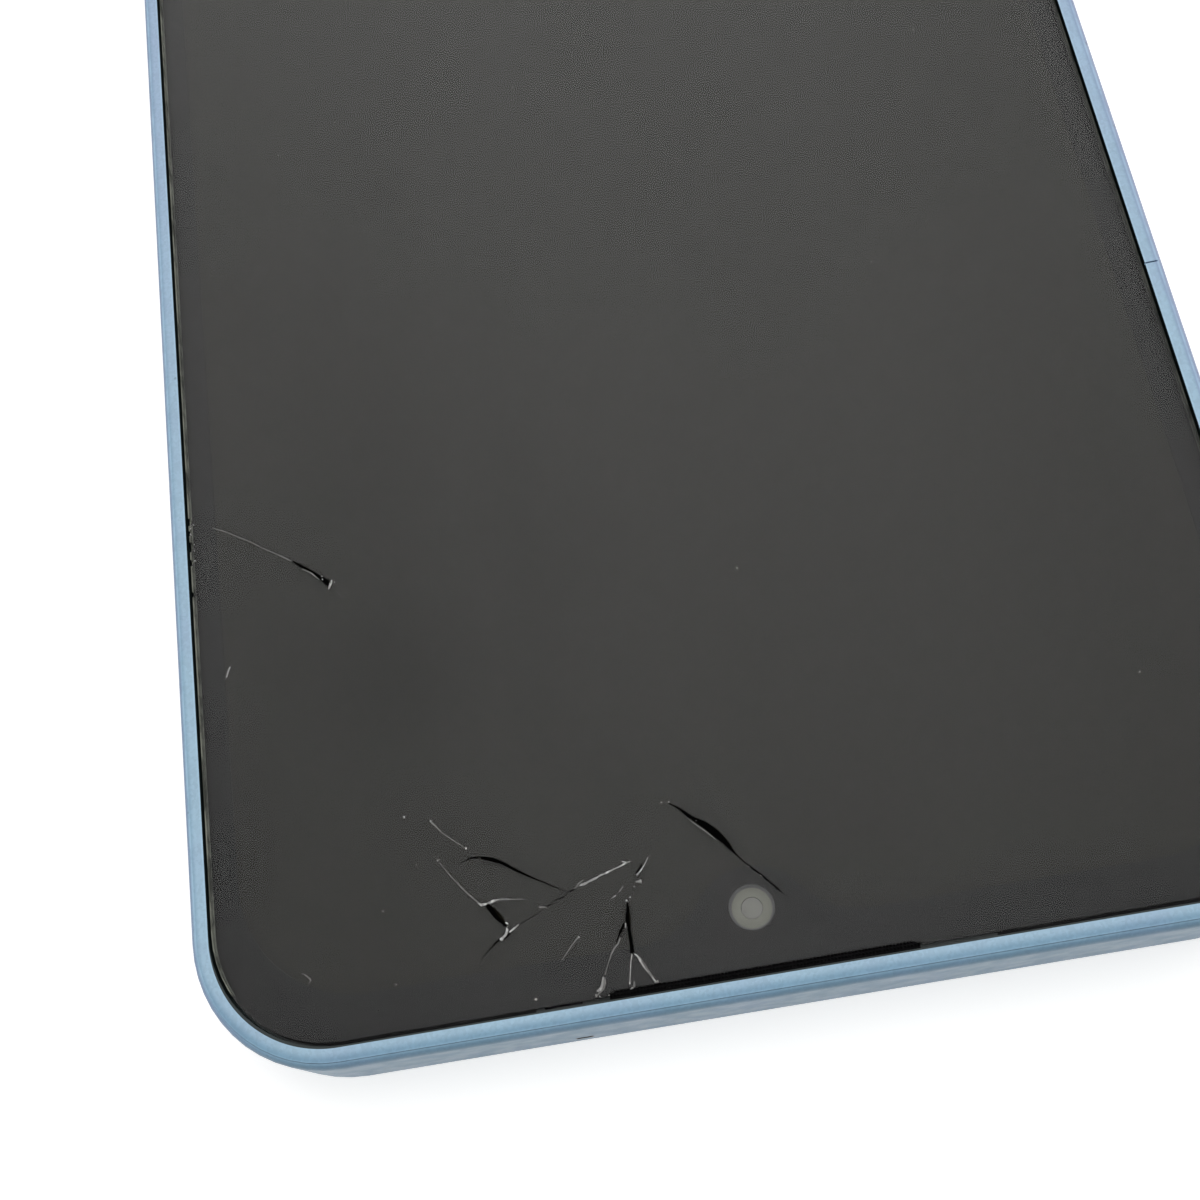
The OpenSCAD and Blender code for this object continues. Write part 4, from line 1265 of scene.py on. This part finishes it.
@dataclass(frozen=True)
class CrackLine:
    """One crack in the glass's face.

    Attributes:
        tone: How it shows.
        path: Its points, each across, up the phone and the width there, in mm.
    """

    tone: Tone
    path: tuple[Step, ...]

    def outline(self) -> list[Point]:
        """Gives the points round the line, up one side and back down the other.

        Returns:
            The outline's points in mm.
        """
        near, far = [], []
        for index, (x, y, width) in enumerate(self.path):
            before = self.path[max(0, index - 1)]
            after = self.path[min(len(self.path) - 1, index + 1)]
            along = Vector((after[0] - before[0], after[1] - before[1])).normalized()
            side = Vector((-along.y, along.x)) * width / 2
            near.append((x + side.x, y + side.y))
            far.append((x - side.x, y - side.y))
        return near + far[::-1]


def opened(*path: Step) -> CrackLine:
    """Gives a crack that stands open, its gap laid black as painted shade."""
    return CrackLine(Tone.OPEN, path)


def white(*path: Step) -> CrackLine:
    """Gives a crack whose glass is crushed white, which also stands in as painted sheen of the crack faces.
    """
    return CrackLine(Tone.WHITE, path)


def faint(*path: Step) -> CrackLine:
    """Gives a crack that hardly shows."""
    return CrackLine(Tone.FAINT, path)


@dataclass
class Shatter:
    """The cracks, splinters and dust on the front glass.

    Attributes:
        face_mm: The height of the glass's face.
        film_mm: How thick a crack line lies on it.
        seed: The start of the random scatter.
        grain_step_mm: How far apart the grains on a white line are.
        proud_mm: How far a large splinter stands out of the face at most.
        sunk_mm: How far a crack line reaches into the glass.
        camera_crack: The crack beside the front camera.
        arch: The curved crack and the lines that lead to it.
        hub: Where the cracks meet, with the long white line.
        stem: The forked crack by the glass's end.
        side: The crack by the side edge, and three small marks.
        splinters: Where the large splinters lie, each across, up the phone and its radius, in mm.
        dust: The same for the dust.
    """

    face_mm: float = 8.7
    film_mm: float = 0.006
    seed: int = 7
    grain_step_mm: float = 0.16
    proud_mm: float = 0.08
    sunk_mm: float = 0.02
    camera_crack: tuple[CrackLine, ...] = (
        opened(
            (4.2, 69.4, 0.07), (3.65, 69.8, 0.12), (3.3, 70.15, 0.2), (3.0, 70.5, 0.27),
            (2.7, 70.75, 0.27), (2.25, 71.1, 0.42), (1.75, 71.6, 0.5), (1.3, 72.15, 0.48),
            (0.95, 72.6, 0.38), (0.7, 73.1, 0.24), (0.42, 73.5, 0.09), (-0.15, 74.3, 0.05),
        ),
        opened(
            (-0.15, 74.3, 0.04), (-0.38, 74.45, 0.07), (-0.45, 74.6, 0.14), (-0.6, 74.8, 0.13),
            (-0.9, 75.05, 0.06), (-1.1, 75.25, 0.08), (-1.25, 75.5, 0.17), (-1.5, 75.75, 0.07),
        ),
        opened(
            (-1.5, 75.75, 0.04), (-1.7, 76.0, 0.07), (-1.85, 76.25, 0.16), (-2.0, 76.4, 0.11),
            (-2.25, 76.7, 0.03),
        ),
        faint((3.05, 70.72, 0.03), (2.6, 71.2, 0.06), (2.05, 71.75, 0.06), (1.55, 72.35, 0.03)),
    )
    arch: tuple[CrackLine, ...] = (
        opened((18.9, 70.95, 0.02), (18.2, 70.73, 0.1), (17.85, 70.73, 0.12), (17.53, 70.76, 0.06)),
        opened(
            (17.45, 70.8, 0.16), (17.05, 70.95, 0.28), (16.65, 71.1, 0.28), (16.25, 71.3, 0.24),
            (15.8, 71.6, 0.24), (15.35, 71.95, 0.2), (14.85, 72.3, 0.15), (14.25, 72.7, 0.12),
            (13.65, 73.05, 0.09), (13.1, 73.4, 0.07), (12.55, 73.75, 0.05), (11.9, 74.1, 0.03),
        ),
        faint((20.65, 67.7, 0.14), (20.35, 68.05, 0.1), (20.0, 68.55, 0.06)),
        faint((20.0, 68.6, 0.03), (18.4, 70.0, 0.03)),
    )
    hub: tuple[CrackLine, ...] = (
        faint((20.3, 70.7, 0.03), (19.6, 71.8, 0.05), (19.15, 72.35, 0.09)),
        faint((19.5, 71.95, 0.04), (19.15, 72.4, 0.1), (18.7, 73.0, 0.09), (17.95, 73.85, 0.1)),
        white(
            (18.05, 73.8, 0.07), (17.8, 74.0, 0.18), (17.4, 73.98, 0.12), (16.95, 73.87, 0.18),
            (16.7, 73.84, 0.09), (16.3, 73.87, 0.07), (15.85, 73.92, 0.04),
        ),
        faint((16.6, 73.86, 0.08), (15.85, 73.95, 0.07), (14.8, 74.1, 0.02)),
        opened(
            (17.45, 74.03, 0.3), (17.15, 74.5, 0.31), (16.9, 74.95, 0.3), (16.55, 75.4, 0.2),
            (16.25, 75.75, 0.09), (16.05, 75.9, 0.05),
        ),
        white((16.25, 75.7, 0.11), (16.27, 75.95, 0.15), (16.42, 76.25, 0.15), (16.8, 76.53, 0.2)),
        white((16.32, 75.43, 0.08), (16.15, 75.55, 0.11)),
        white((16.13, 76.1, 0.08), (15.8, 75.92, 0.12), (15.45, 75.7, 0.05)),
        opened((16.1, 76.17, 0.1), (16.3, 76.35, 0.13), (16.56, 76.5, 0.08)),
        opened(
            (16.86, 76.45, 0.13), (17.15, 76.65, 0.13), (17.5, 76.95, 0.07), (17.9, 77.25, 0.04),
            (18.35, 77.6, 0.02),
        ),
        opened((15.45, 75.7, 0.04), (14.85, 75.5, 0.05), (14.05, 75.2, 0.02)),
        faint((13.95, 74.8, 0.08), (13.65, 74.84, 0.1), (13.4, 74.92, 0.05)),
        opened((13.47, 74.84, 0.05), (13.1, 74.76, 0.11)),
        opened((12.9, 74.5, 0.05), (12.5, 74.49, 0.07), (12.1, 74.4, 0.03)),
        opened((11.9, 74.13, 0.06), (11.65, 74.1, 0.1), (11.3, 74.0, 0.03)),
        faint((11.4, 74.05, 0.05), (11.1, 73.7, 0.09), (10.7, 73.5, 0.05)),
        white(
            (11.03, 73.83, 0.09), (10.7, 73.8, 0.16), (10.35, 73.67, 0.11), (9.95, 73.56, 0.16),
            (9.8, 73.52, 0.08), (9.5, 73.38, 0.12), (9.3, 73.36, 0.07), (9.05, 73.29, 0.12),
            (8.65, 73.17, 0.07), (8.2, 73.05, 0.08), (7.7, 72.88, 0.1), (7.4, 72.82, 0.05),
        ),
        white((8.0, 72.7, 0.04), (7.77, 72.83, 0.1), (7.57, 72.9, 0.05)),
    )
    stem: tuple[CrackLine, ...] = (
        opened((7.19, 73.69, 0.07), (6.9, 73.43, 0.15), (6.65, 73.19, 0.13)),
        white((7.14, 73.81, 0.08), (6.83, 73.58, 0.07), (6.4, 73.08, 0.05), (6.2, 72.75, 0.03)),
        faint((9.05, 75.05, 0.04), (8.7, 74.9, 0.07)),
        faint((8.45, 74.7, 0.05), (8.15, 74.4, 0.07)),
        opened(
            (8.02, 75.4, 0.08), (8.07, 75.85, 0.17), (8.22, 76.45, 0.25), (8.19, 77.0, 0.19),
            (8.18, 77.55, 0.21), (8.17, 78.15, 0.24), (8.21, 78.8, 0.26),
        ),
        opened(
            (8.38, 76.7, 0.05), (8.55, 77.0, 0.18), (8.77, 77.3, 0.16), (8.97, 77.6, 0.08),
            (9.15, 77.95, 0.06),
        ),
        white((8.37, 76.8, 0.07), (8.39, 77.1, 0.08)),
        faint(
            (8.85, 77.7, 0.08), (9.05, 78.05, 0.08), (9.35, 78.3, 0.1), (9.6, 78.65, 0.08),
            (9.95, 79.3, 0.03), (10.2, 79.9, 0.04),
        ),
        white((10.35, 80.0, 0.09), (10.46, 80.4, 0.13), (10.6, 80.7, 0.17), (10.87, 80.85, 0.16)),
        faint((10.25, 80.05, 0.05), (10.3, 80.4, 0.16), (10.45, 80.75, 0.14), (11.0, 81.15, 0.1)),
        white((8.25, 78.87, 0.07), (8.4, 79.35, 0.07), (8.55, 80.05, 0.05), (8.7, 80.75, 0.06)),
        faint((8.38, 80.6, 0.05), (8.42, 80.9, 0.13), (8.55, 81.05, 0.06)),
        white(
            (8.1, 78.87, 0.06), (7.93, 79.0, 0.08), (7.77, 79.4, 0.12), (7.58, 79.85, 0.1),
            (7.3, 80.3, 0.06), (7.0, 80.85, 0.08),
        ),
        faint((7.79, 79.1, 0.06), (7.5, 79.7, 0.07), (7.2, 80.4, 0.09), (7.07, 80.6, 0.12)),
        faint((11.6, 77.2, 0.1), (11.8, 77.35, 0.06), (12.15, 77.7, 0.05), (12.9, 78.5, 0.02)),
    )
    side: tuple[CrackLine, ...] = (
        faint(
            (34.85, 42.3, 0.03), (34.0, 42.75, 0.05), (33.05, 43.35, 0.04), (31.9, 44.1, 0.05),
            (31.1, 44.75, 0.04), (30.3, 45.3, 0.04), (29.85, 45.6, 0.07), (29.45, 45.9, 0.12),
            (28.9, 46.3, 0.04),
        ),
        opened(
            (28.9, 46.25, 0.06), (28.6, 46.55, 0.16), (28.3, 46.8, 0.22), (28.0, 47.0, 0.12),
            (27.55, 47.3, 0.13), (27.15, 47.75, 0.22), (26.8, 48.1, 0.3), (26.45, 48.45, 0.4),
            (26.2, 48.77, 0.4),
        ),
        faint((28.15, 47.1, 0.06), (27.5, 47.55, 0.08), (26.95, 48.2, 0.05)),
        white((26.0, 48.43, 0.09), (26.07, 48.65, 0.15), (26.3, 49.1, 0.11)),
        faint((25.75, 49.3, 0.03), (25.3, 50.0, 0.03)),
        white((34.15, 53.7, 0.06), (34.3, 53.95, 0.11), (34.48, 54.45, 0.07)),
        faint((30.5, 76.5, 0.05), (30.25, 76.65, 0.07), (29.95, 77.0, 0.06), (30.1, 77.2, 0.04)),
    )
    splinters: tuple[Step, ...] = (
        (7.08, 74.28, 0.2), (22.45, 67.05, 0.11), (20.65, 67.7, 0.08), (18.4, 70.0, 0.06),
        (20.4, 70.45, 0.1), (7.43, 74.56, 0.07), (8.02, 75.4, 0.11), (7.8, 75.2, 0.06),
        (6.95, 80.9, 0.14), (8.6, 81.05, 0.11), (10.75, 81.2, 0.06), (11.0, 81.1, 0.09),
        (11.6, 77.2, 0.07), (10.15, 81.2, 0.05), (26.78, 48.0, 0.09), (26.7, 48.3, 0.08),
        (25.8, 48.65, 0.05), (36.57, 42.0, 0.1), (36.52, 42.5, 0.1), (36.3, 41.75, 0.06),
        (36.35, 44.75, 0.08), (36.34, 43.4, 0.06), (36.34, 43.9, 0.06), (2.9, 70.7, 0.07),
        (2.6, 70.87, 0.08),
    )
    dust: tuple[Step, ...] = (
        (14.95, 80.7, 0.07), (4.7, 69.25, 0.06), (4.2, 69.3, 0.05), (-0.35, 74.5, 0.05),
        (-1.0, 75.25, 0.05), (24.55, 73.25, 0.04), (21.95, 70.5, 0.05), (24.15, 78.25, 0.04),
        (25.5, 79.7, 0.04), (22.2, 7.45, 0.06), (6.95, 7.85, 0.06), (5.65, 7.0, 0.04),
        (-25.5, 10.85, 0.05), (-17.8, 31.1, 0.06), (20.7, 18.75, 0.04), (27.2, 9.55, 0.05),
        (-3.4, 53.5, 0.05), (-28.25, 66.2, 0.05),
    )

    def grain(self, name: str, cuts: Sequence[tuple[Step, Step]]) -> bpy.types.Object:
        """Makes one splinter a millimetre across by cutting corners off a block.

        Args:
            name: Its name.
            cuts: The planes that cut it, each a point and the way its outside faces.

        Returns:
            The splinter, round the origin.
        """
        piece = Bench.start(name, bpy.ops.mesh.primitive_cube_add, size=2 * MM)
        with Editing(piece):
            for place, way in cuts:
                bpy.ops.mesh.select_all(action="SELECT")
                at = tuple(c * MM for c in place)
                bpy.ops.mesh.bisect(plane_co=at, plane_no=way, use_fill=True, clear_outer=True)
        return Bench.settle(piece)

    def grains(self) -> list[bpy.types.Object]:
        """Makes the splinter patterns that every other one copies.

        Returns:
            The patterns.
        """
        return [
            self.grain("grain_wedge", (((0.2, 0, 0), (1, 0.3, 0.8)), ((0, 0.3, 0), (-0.6, 1, 0.4)))),
            self.grain("grain_flake", (
                ((0, 0, 0.1), (0.3, -0.5, 1)), ((0.5, 0, 0), (1, 1, 0.2)), ((-0.4, 0, 0), (-1, 0.4, 0)),
            )),
            self.grain("grain_needle", (((0, 0.1, 0), (0.4, 1, 0.2)), ((0, -0.4, 0), (0.3, -1, 0.5)))),
        ]

    def spots(self) -> list[Step]:
        """Gives where the splinters lie: the large ones and small grains strewn on the white lines.

        Returns:
            The spots, each across, up the phone and the radius, in mm.
        """
        strewn = random.Random(self.seed)
        spots = list(self.splinters)
        for line in self.lines():
            if line.tone is not Tone.WHITE:
                continue
            for (x0, y0, w0), (x1, y1, w1) in zip(line.path, line.path[1:]):
                count = max(1, round(math.dist((x0, y0), (x1, y1)) / self.grain_step_mm))
                for _ in range(count):
                    share = strewn.random()
                    width = w0 + (w1 - w0) * share
                    off = strewn.uniform(-0.3, 0.3) * width
                    x, y = x0 + (x1 - x0) * share + off, y0 + (y1 - y0) * share - off
                    spots.append((x, y, width * strewn.uniform(0.25, 0.5)))
        return spots

    def lines(self) -> list[CrackLine]:
        """Gives every crack line."""
        return [*self.camera_crack, *self.arch, *self.hub, *self.stem, *self.side]

    def scatter(self, name: str, spots: Sequence[Step], finish: Finish) -> bpy.types.Object:
        """Copies the splinter patterns to their spots, turned at random, as one piece.

        Args:
            name: The piece's name.
            spots: Where they lie, each across, up the phone and the radius, in mm.
            finish: Their finish.

        Returns:
            The piece.
        """
        turned = random.Random(self.seed + len(spots))
        patterns = self.grains()
        copies = []
        for x, y, radius in spots:
            spin = Matrix.Rotation(turned.uniform(0, math.tau), 4, "Z")
            turn = spin @ Matrix.Rotation(turned.uniform(-0.4, 0.4), 4, "X")
            deep = radius * turned.uniform(0.6, 1.0)
            size = Matrix.Diagonal((radius, deep, min(radius, self.proud_mm) * 0.8, 1))
            place = Matrix.Translation(Vector((x, y, self.face_mm)) * MM) @ turn @ size
            copies.append(Bench.copy(turned.choice(patterns), place))
        for pattern in patterns:
            Bench.drop(pattern)
        piece = Bench.join(name, copies)
        finish.put_on(piece)
        return piece

    def build(self) -> None:
        """Lays the crack lines by tone, then the splinters and the dust."""
        pieces = []
        low, high = self.face_mm - self.sunk_mm, self.face_mm + self.film_mm
        for tone in Tone:
            kind = tone.name.lower()
            plates = [
                Bench.cut_out(f"line_{kind}_{number}", line.outline(), low, high)
                for number, line in enumerate(self.lines())
                if line.tone is tone
            ]
            piece = Bench.join(f"crack_{kind}", plates)
            tone.value.put_on(piece)
            pieces.append(piece)
        pieces.append(self.scatter("crack_splinters", self.spots(), BROKEN))
        pieces.append(self.scatter("glass_dust", self.dust, LINT))
        for piece in pieces:
            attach(piece, "phone")
            log.info("%s laid", piece.name)


# ---------------------------------------------------------------------------------------------
# Studio
# ---------------------------------------------------------------------------------------------


@dataclass
class Studio:
    """The floor, the soft light and the camera.

    Attributes:
        zenith: The sky's level overhead for what it lights.
        horizon: The same at the horizon.
        mirror_near: The sky's level in the glass, straight above.
        mirror_far: The same towards the phone's far end.
        mirror_side: What is left of either towards +X.
        floor_lift: What the floor adds to how bright it is seen, so that it is white.
        floor_tone: The floor's own colour.
        camera_mm: Where the camera is.
        right: The way that the view's right points.
        down: The way that the view's lower edge points.
        lens_mm: The camera's focal length.
        shift: The camera's shift, across and up.
    """

    zenith: float = 0.72
    horizon: float = 0.42
    mirror_near: float = 1.0
    mirror_far: float = 1.68
    mirror_side: float = 0.82
    floor_lift: float = 0.5
    floor_tone: Colour = (0.84, 0.84, 0.83)
    camera_mm: Step = (-1.52, 95.0, 113.917)
    right: Step = (-0.97833, 0.14144, -0.15119)
    down: Step = (0.18766, 0.91425, -0.35907)
    lens_mm: float = 47.509
    shift: Point = (0.025, -0.0208)

    def sky(self) -> None:
        """Makes a plain pale surround, dimmer at the horizon and brighter towards the far end."""
        world = bpy.data.worlds.new("soft_surround")
        bpy.context.scene.world = world
        world.use_nodes = True
        nodes = Nodes(world.node_tree)
        way = nodes.add("SeparateXYZ", {"Vector": nodes.add("TexCoord").outputs["Generated"]}).outputs
        lit = nodes.span(way["Z"], 0.0, 1.0, self.horizon, self.zenith)
        beyond = nodes.times(way["Y"], -1.0)
        mirrored = nodes.span(beyond, 0.15, 1.0, self.mirror_near, self.mirror_far)
        mirrored = nodes.times(mirrored, nodes.span(way["X"], 0.05, 0.3, 1.0, self.mirror_side))
        level = nodes.mix(nodes.seen(), lit, mirrored)
        back = world.node_tree.nodes["Background"]
        back.inputs["Color"].default_value = (1.0, 0.99, 0.975, 1.0)
        nodes.feed(back.inputs["Strength"], level)

    def floor(self) -> None:
        """Lays a plain pale floor just under the phone."""
        piece = Bench.start("floor", bpy.ops.mesh.primitive_plane_add, size=4.0, location=(0, 0, -0.05 * MM))
        sheet = Sheet("floor_pale")
        cloud = sheet.noise(3, 2)
        tone = sheet.mix(cloud, shade(self.floor_tone, 0.99), shade(self.floor_tone, 1.01))
        sheet.dress({"Base Color": tone, "Roughness": 0.9, "Specular IOR Level": 0.0})
        glow = sheet.add("Emission", {"Color": (1, 1, 1, 1)})
        sheet.feed(glow.inputs["Strength"], sheet.times(sheet.seen(), self.floor_lift))
        both = sheet.add("AddShader", {0: sheet.shader.outputs[0], 1: glow.outputs[0]})
        sheet.feed(sheet.tree.nodes["Material Output"].inputs["Surface"], both.outputs[0])
        piece.data.materials.append(sheet.material)
        Bench.settle(piece, outward=False)

    def softbox(self, name: str, place: tuple, power: float, size: float) -> None:
        """Hangs one large soft lamp aimed at the phone.

        Args:
            name: The lamp's name.
            place: Where it hangs, in metres.
            power: Its power in watts.
            size: The length of its side in metres.
        """
        data = bpy.data.lights.new(name, "AREA")
        data.energy = power
        data.shape = "SQUARE"
        data.size = size
        lamp = bpy.data.objects.new(name, data)
        lamp.location = place
        lamp.rotation_mode = "QUATERNION"
        lamp.rotation_quaternion = (-Vector(place)).to_track_quat("-Z", "Y")
        lamp.visible_glossy = False
        lamp.visible_camera = False
        lamp.visible_transmission = False
        bpy.context.scene.collection.objects.link(lamp)

    def camera(self) -> None:
        """Places the camera over the shattered end."""
        data = bpy.data.cameras.new("camera")
        data.lens = self.lens_mm
        data.sensor_width = 36.0
        data.shift_x, data.shift_y = self.shift
        data.clip_start, data.clip_end = 0.005, 20.0
        eye = bpy.data.objects.new("camera", data)
        right, up = Vector(self.right), -Vector(self.down)
        back = right.cross(up).normalized()
        up = back.cross(right).normalized()
        turn = Matrix((right, up, back)).transposed().to_4x4()
        eye.matrix_world = Matrix.Translation(Vector(self.camera_mm) * MM) @ turn
        bpy.context.scene.collection.objects.link(eye)
        bpy.context.scene.camera = eye

    def build(self) -> None:
        """Sets up surround, floor, lamps and camera."""
        self.sky()
        self.floor()
        self.softbox("overhead_box", (-0.25, -0.35, 1.0), 4.2, 0.9)
        self.softbox("side_box", (0.9, 0.5, 0.6), 1.4, 0.6)
        self.camera()
        bpy.context.scene.view_settings.view_transform = "Standard"
        log.info("studio set")


def main() -> None:
    """Builds the phone's looks in order."""
    logging.basicConfig(level=logging.INFO, format="%(message)s")
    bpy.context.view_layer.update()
    Studio().build()
    Inside().dress()
    Housing().dress()
    FrontPanel().dress()
    FrontCamera().dress()
    Shatter().build()
    bpy.context.view_layer.update()


if __name__ == "__main__":
    main()
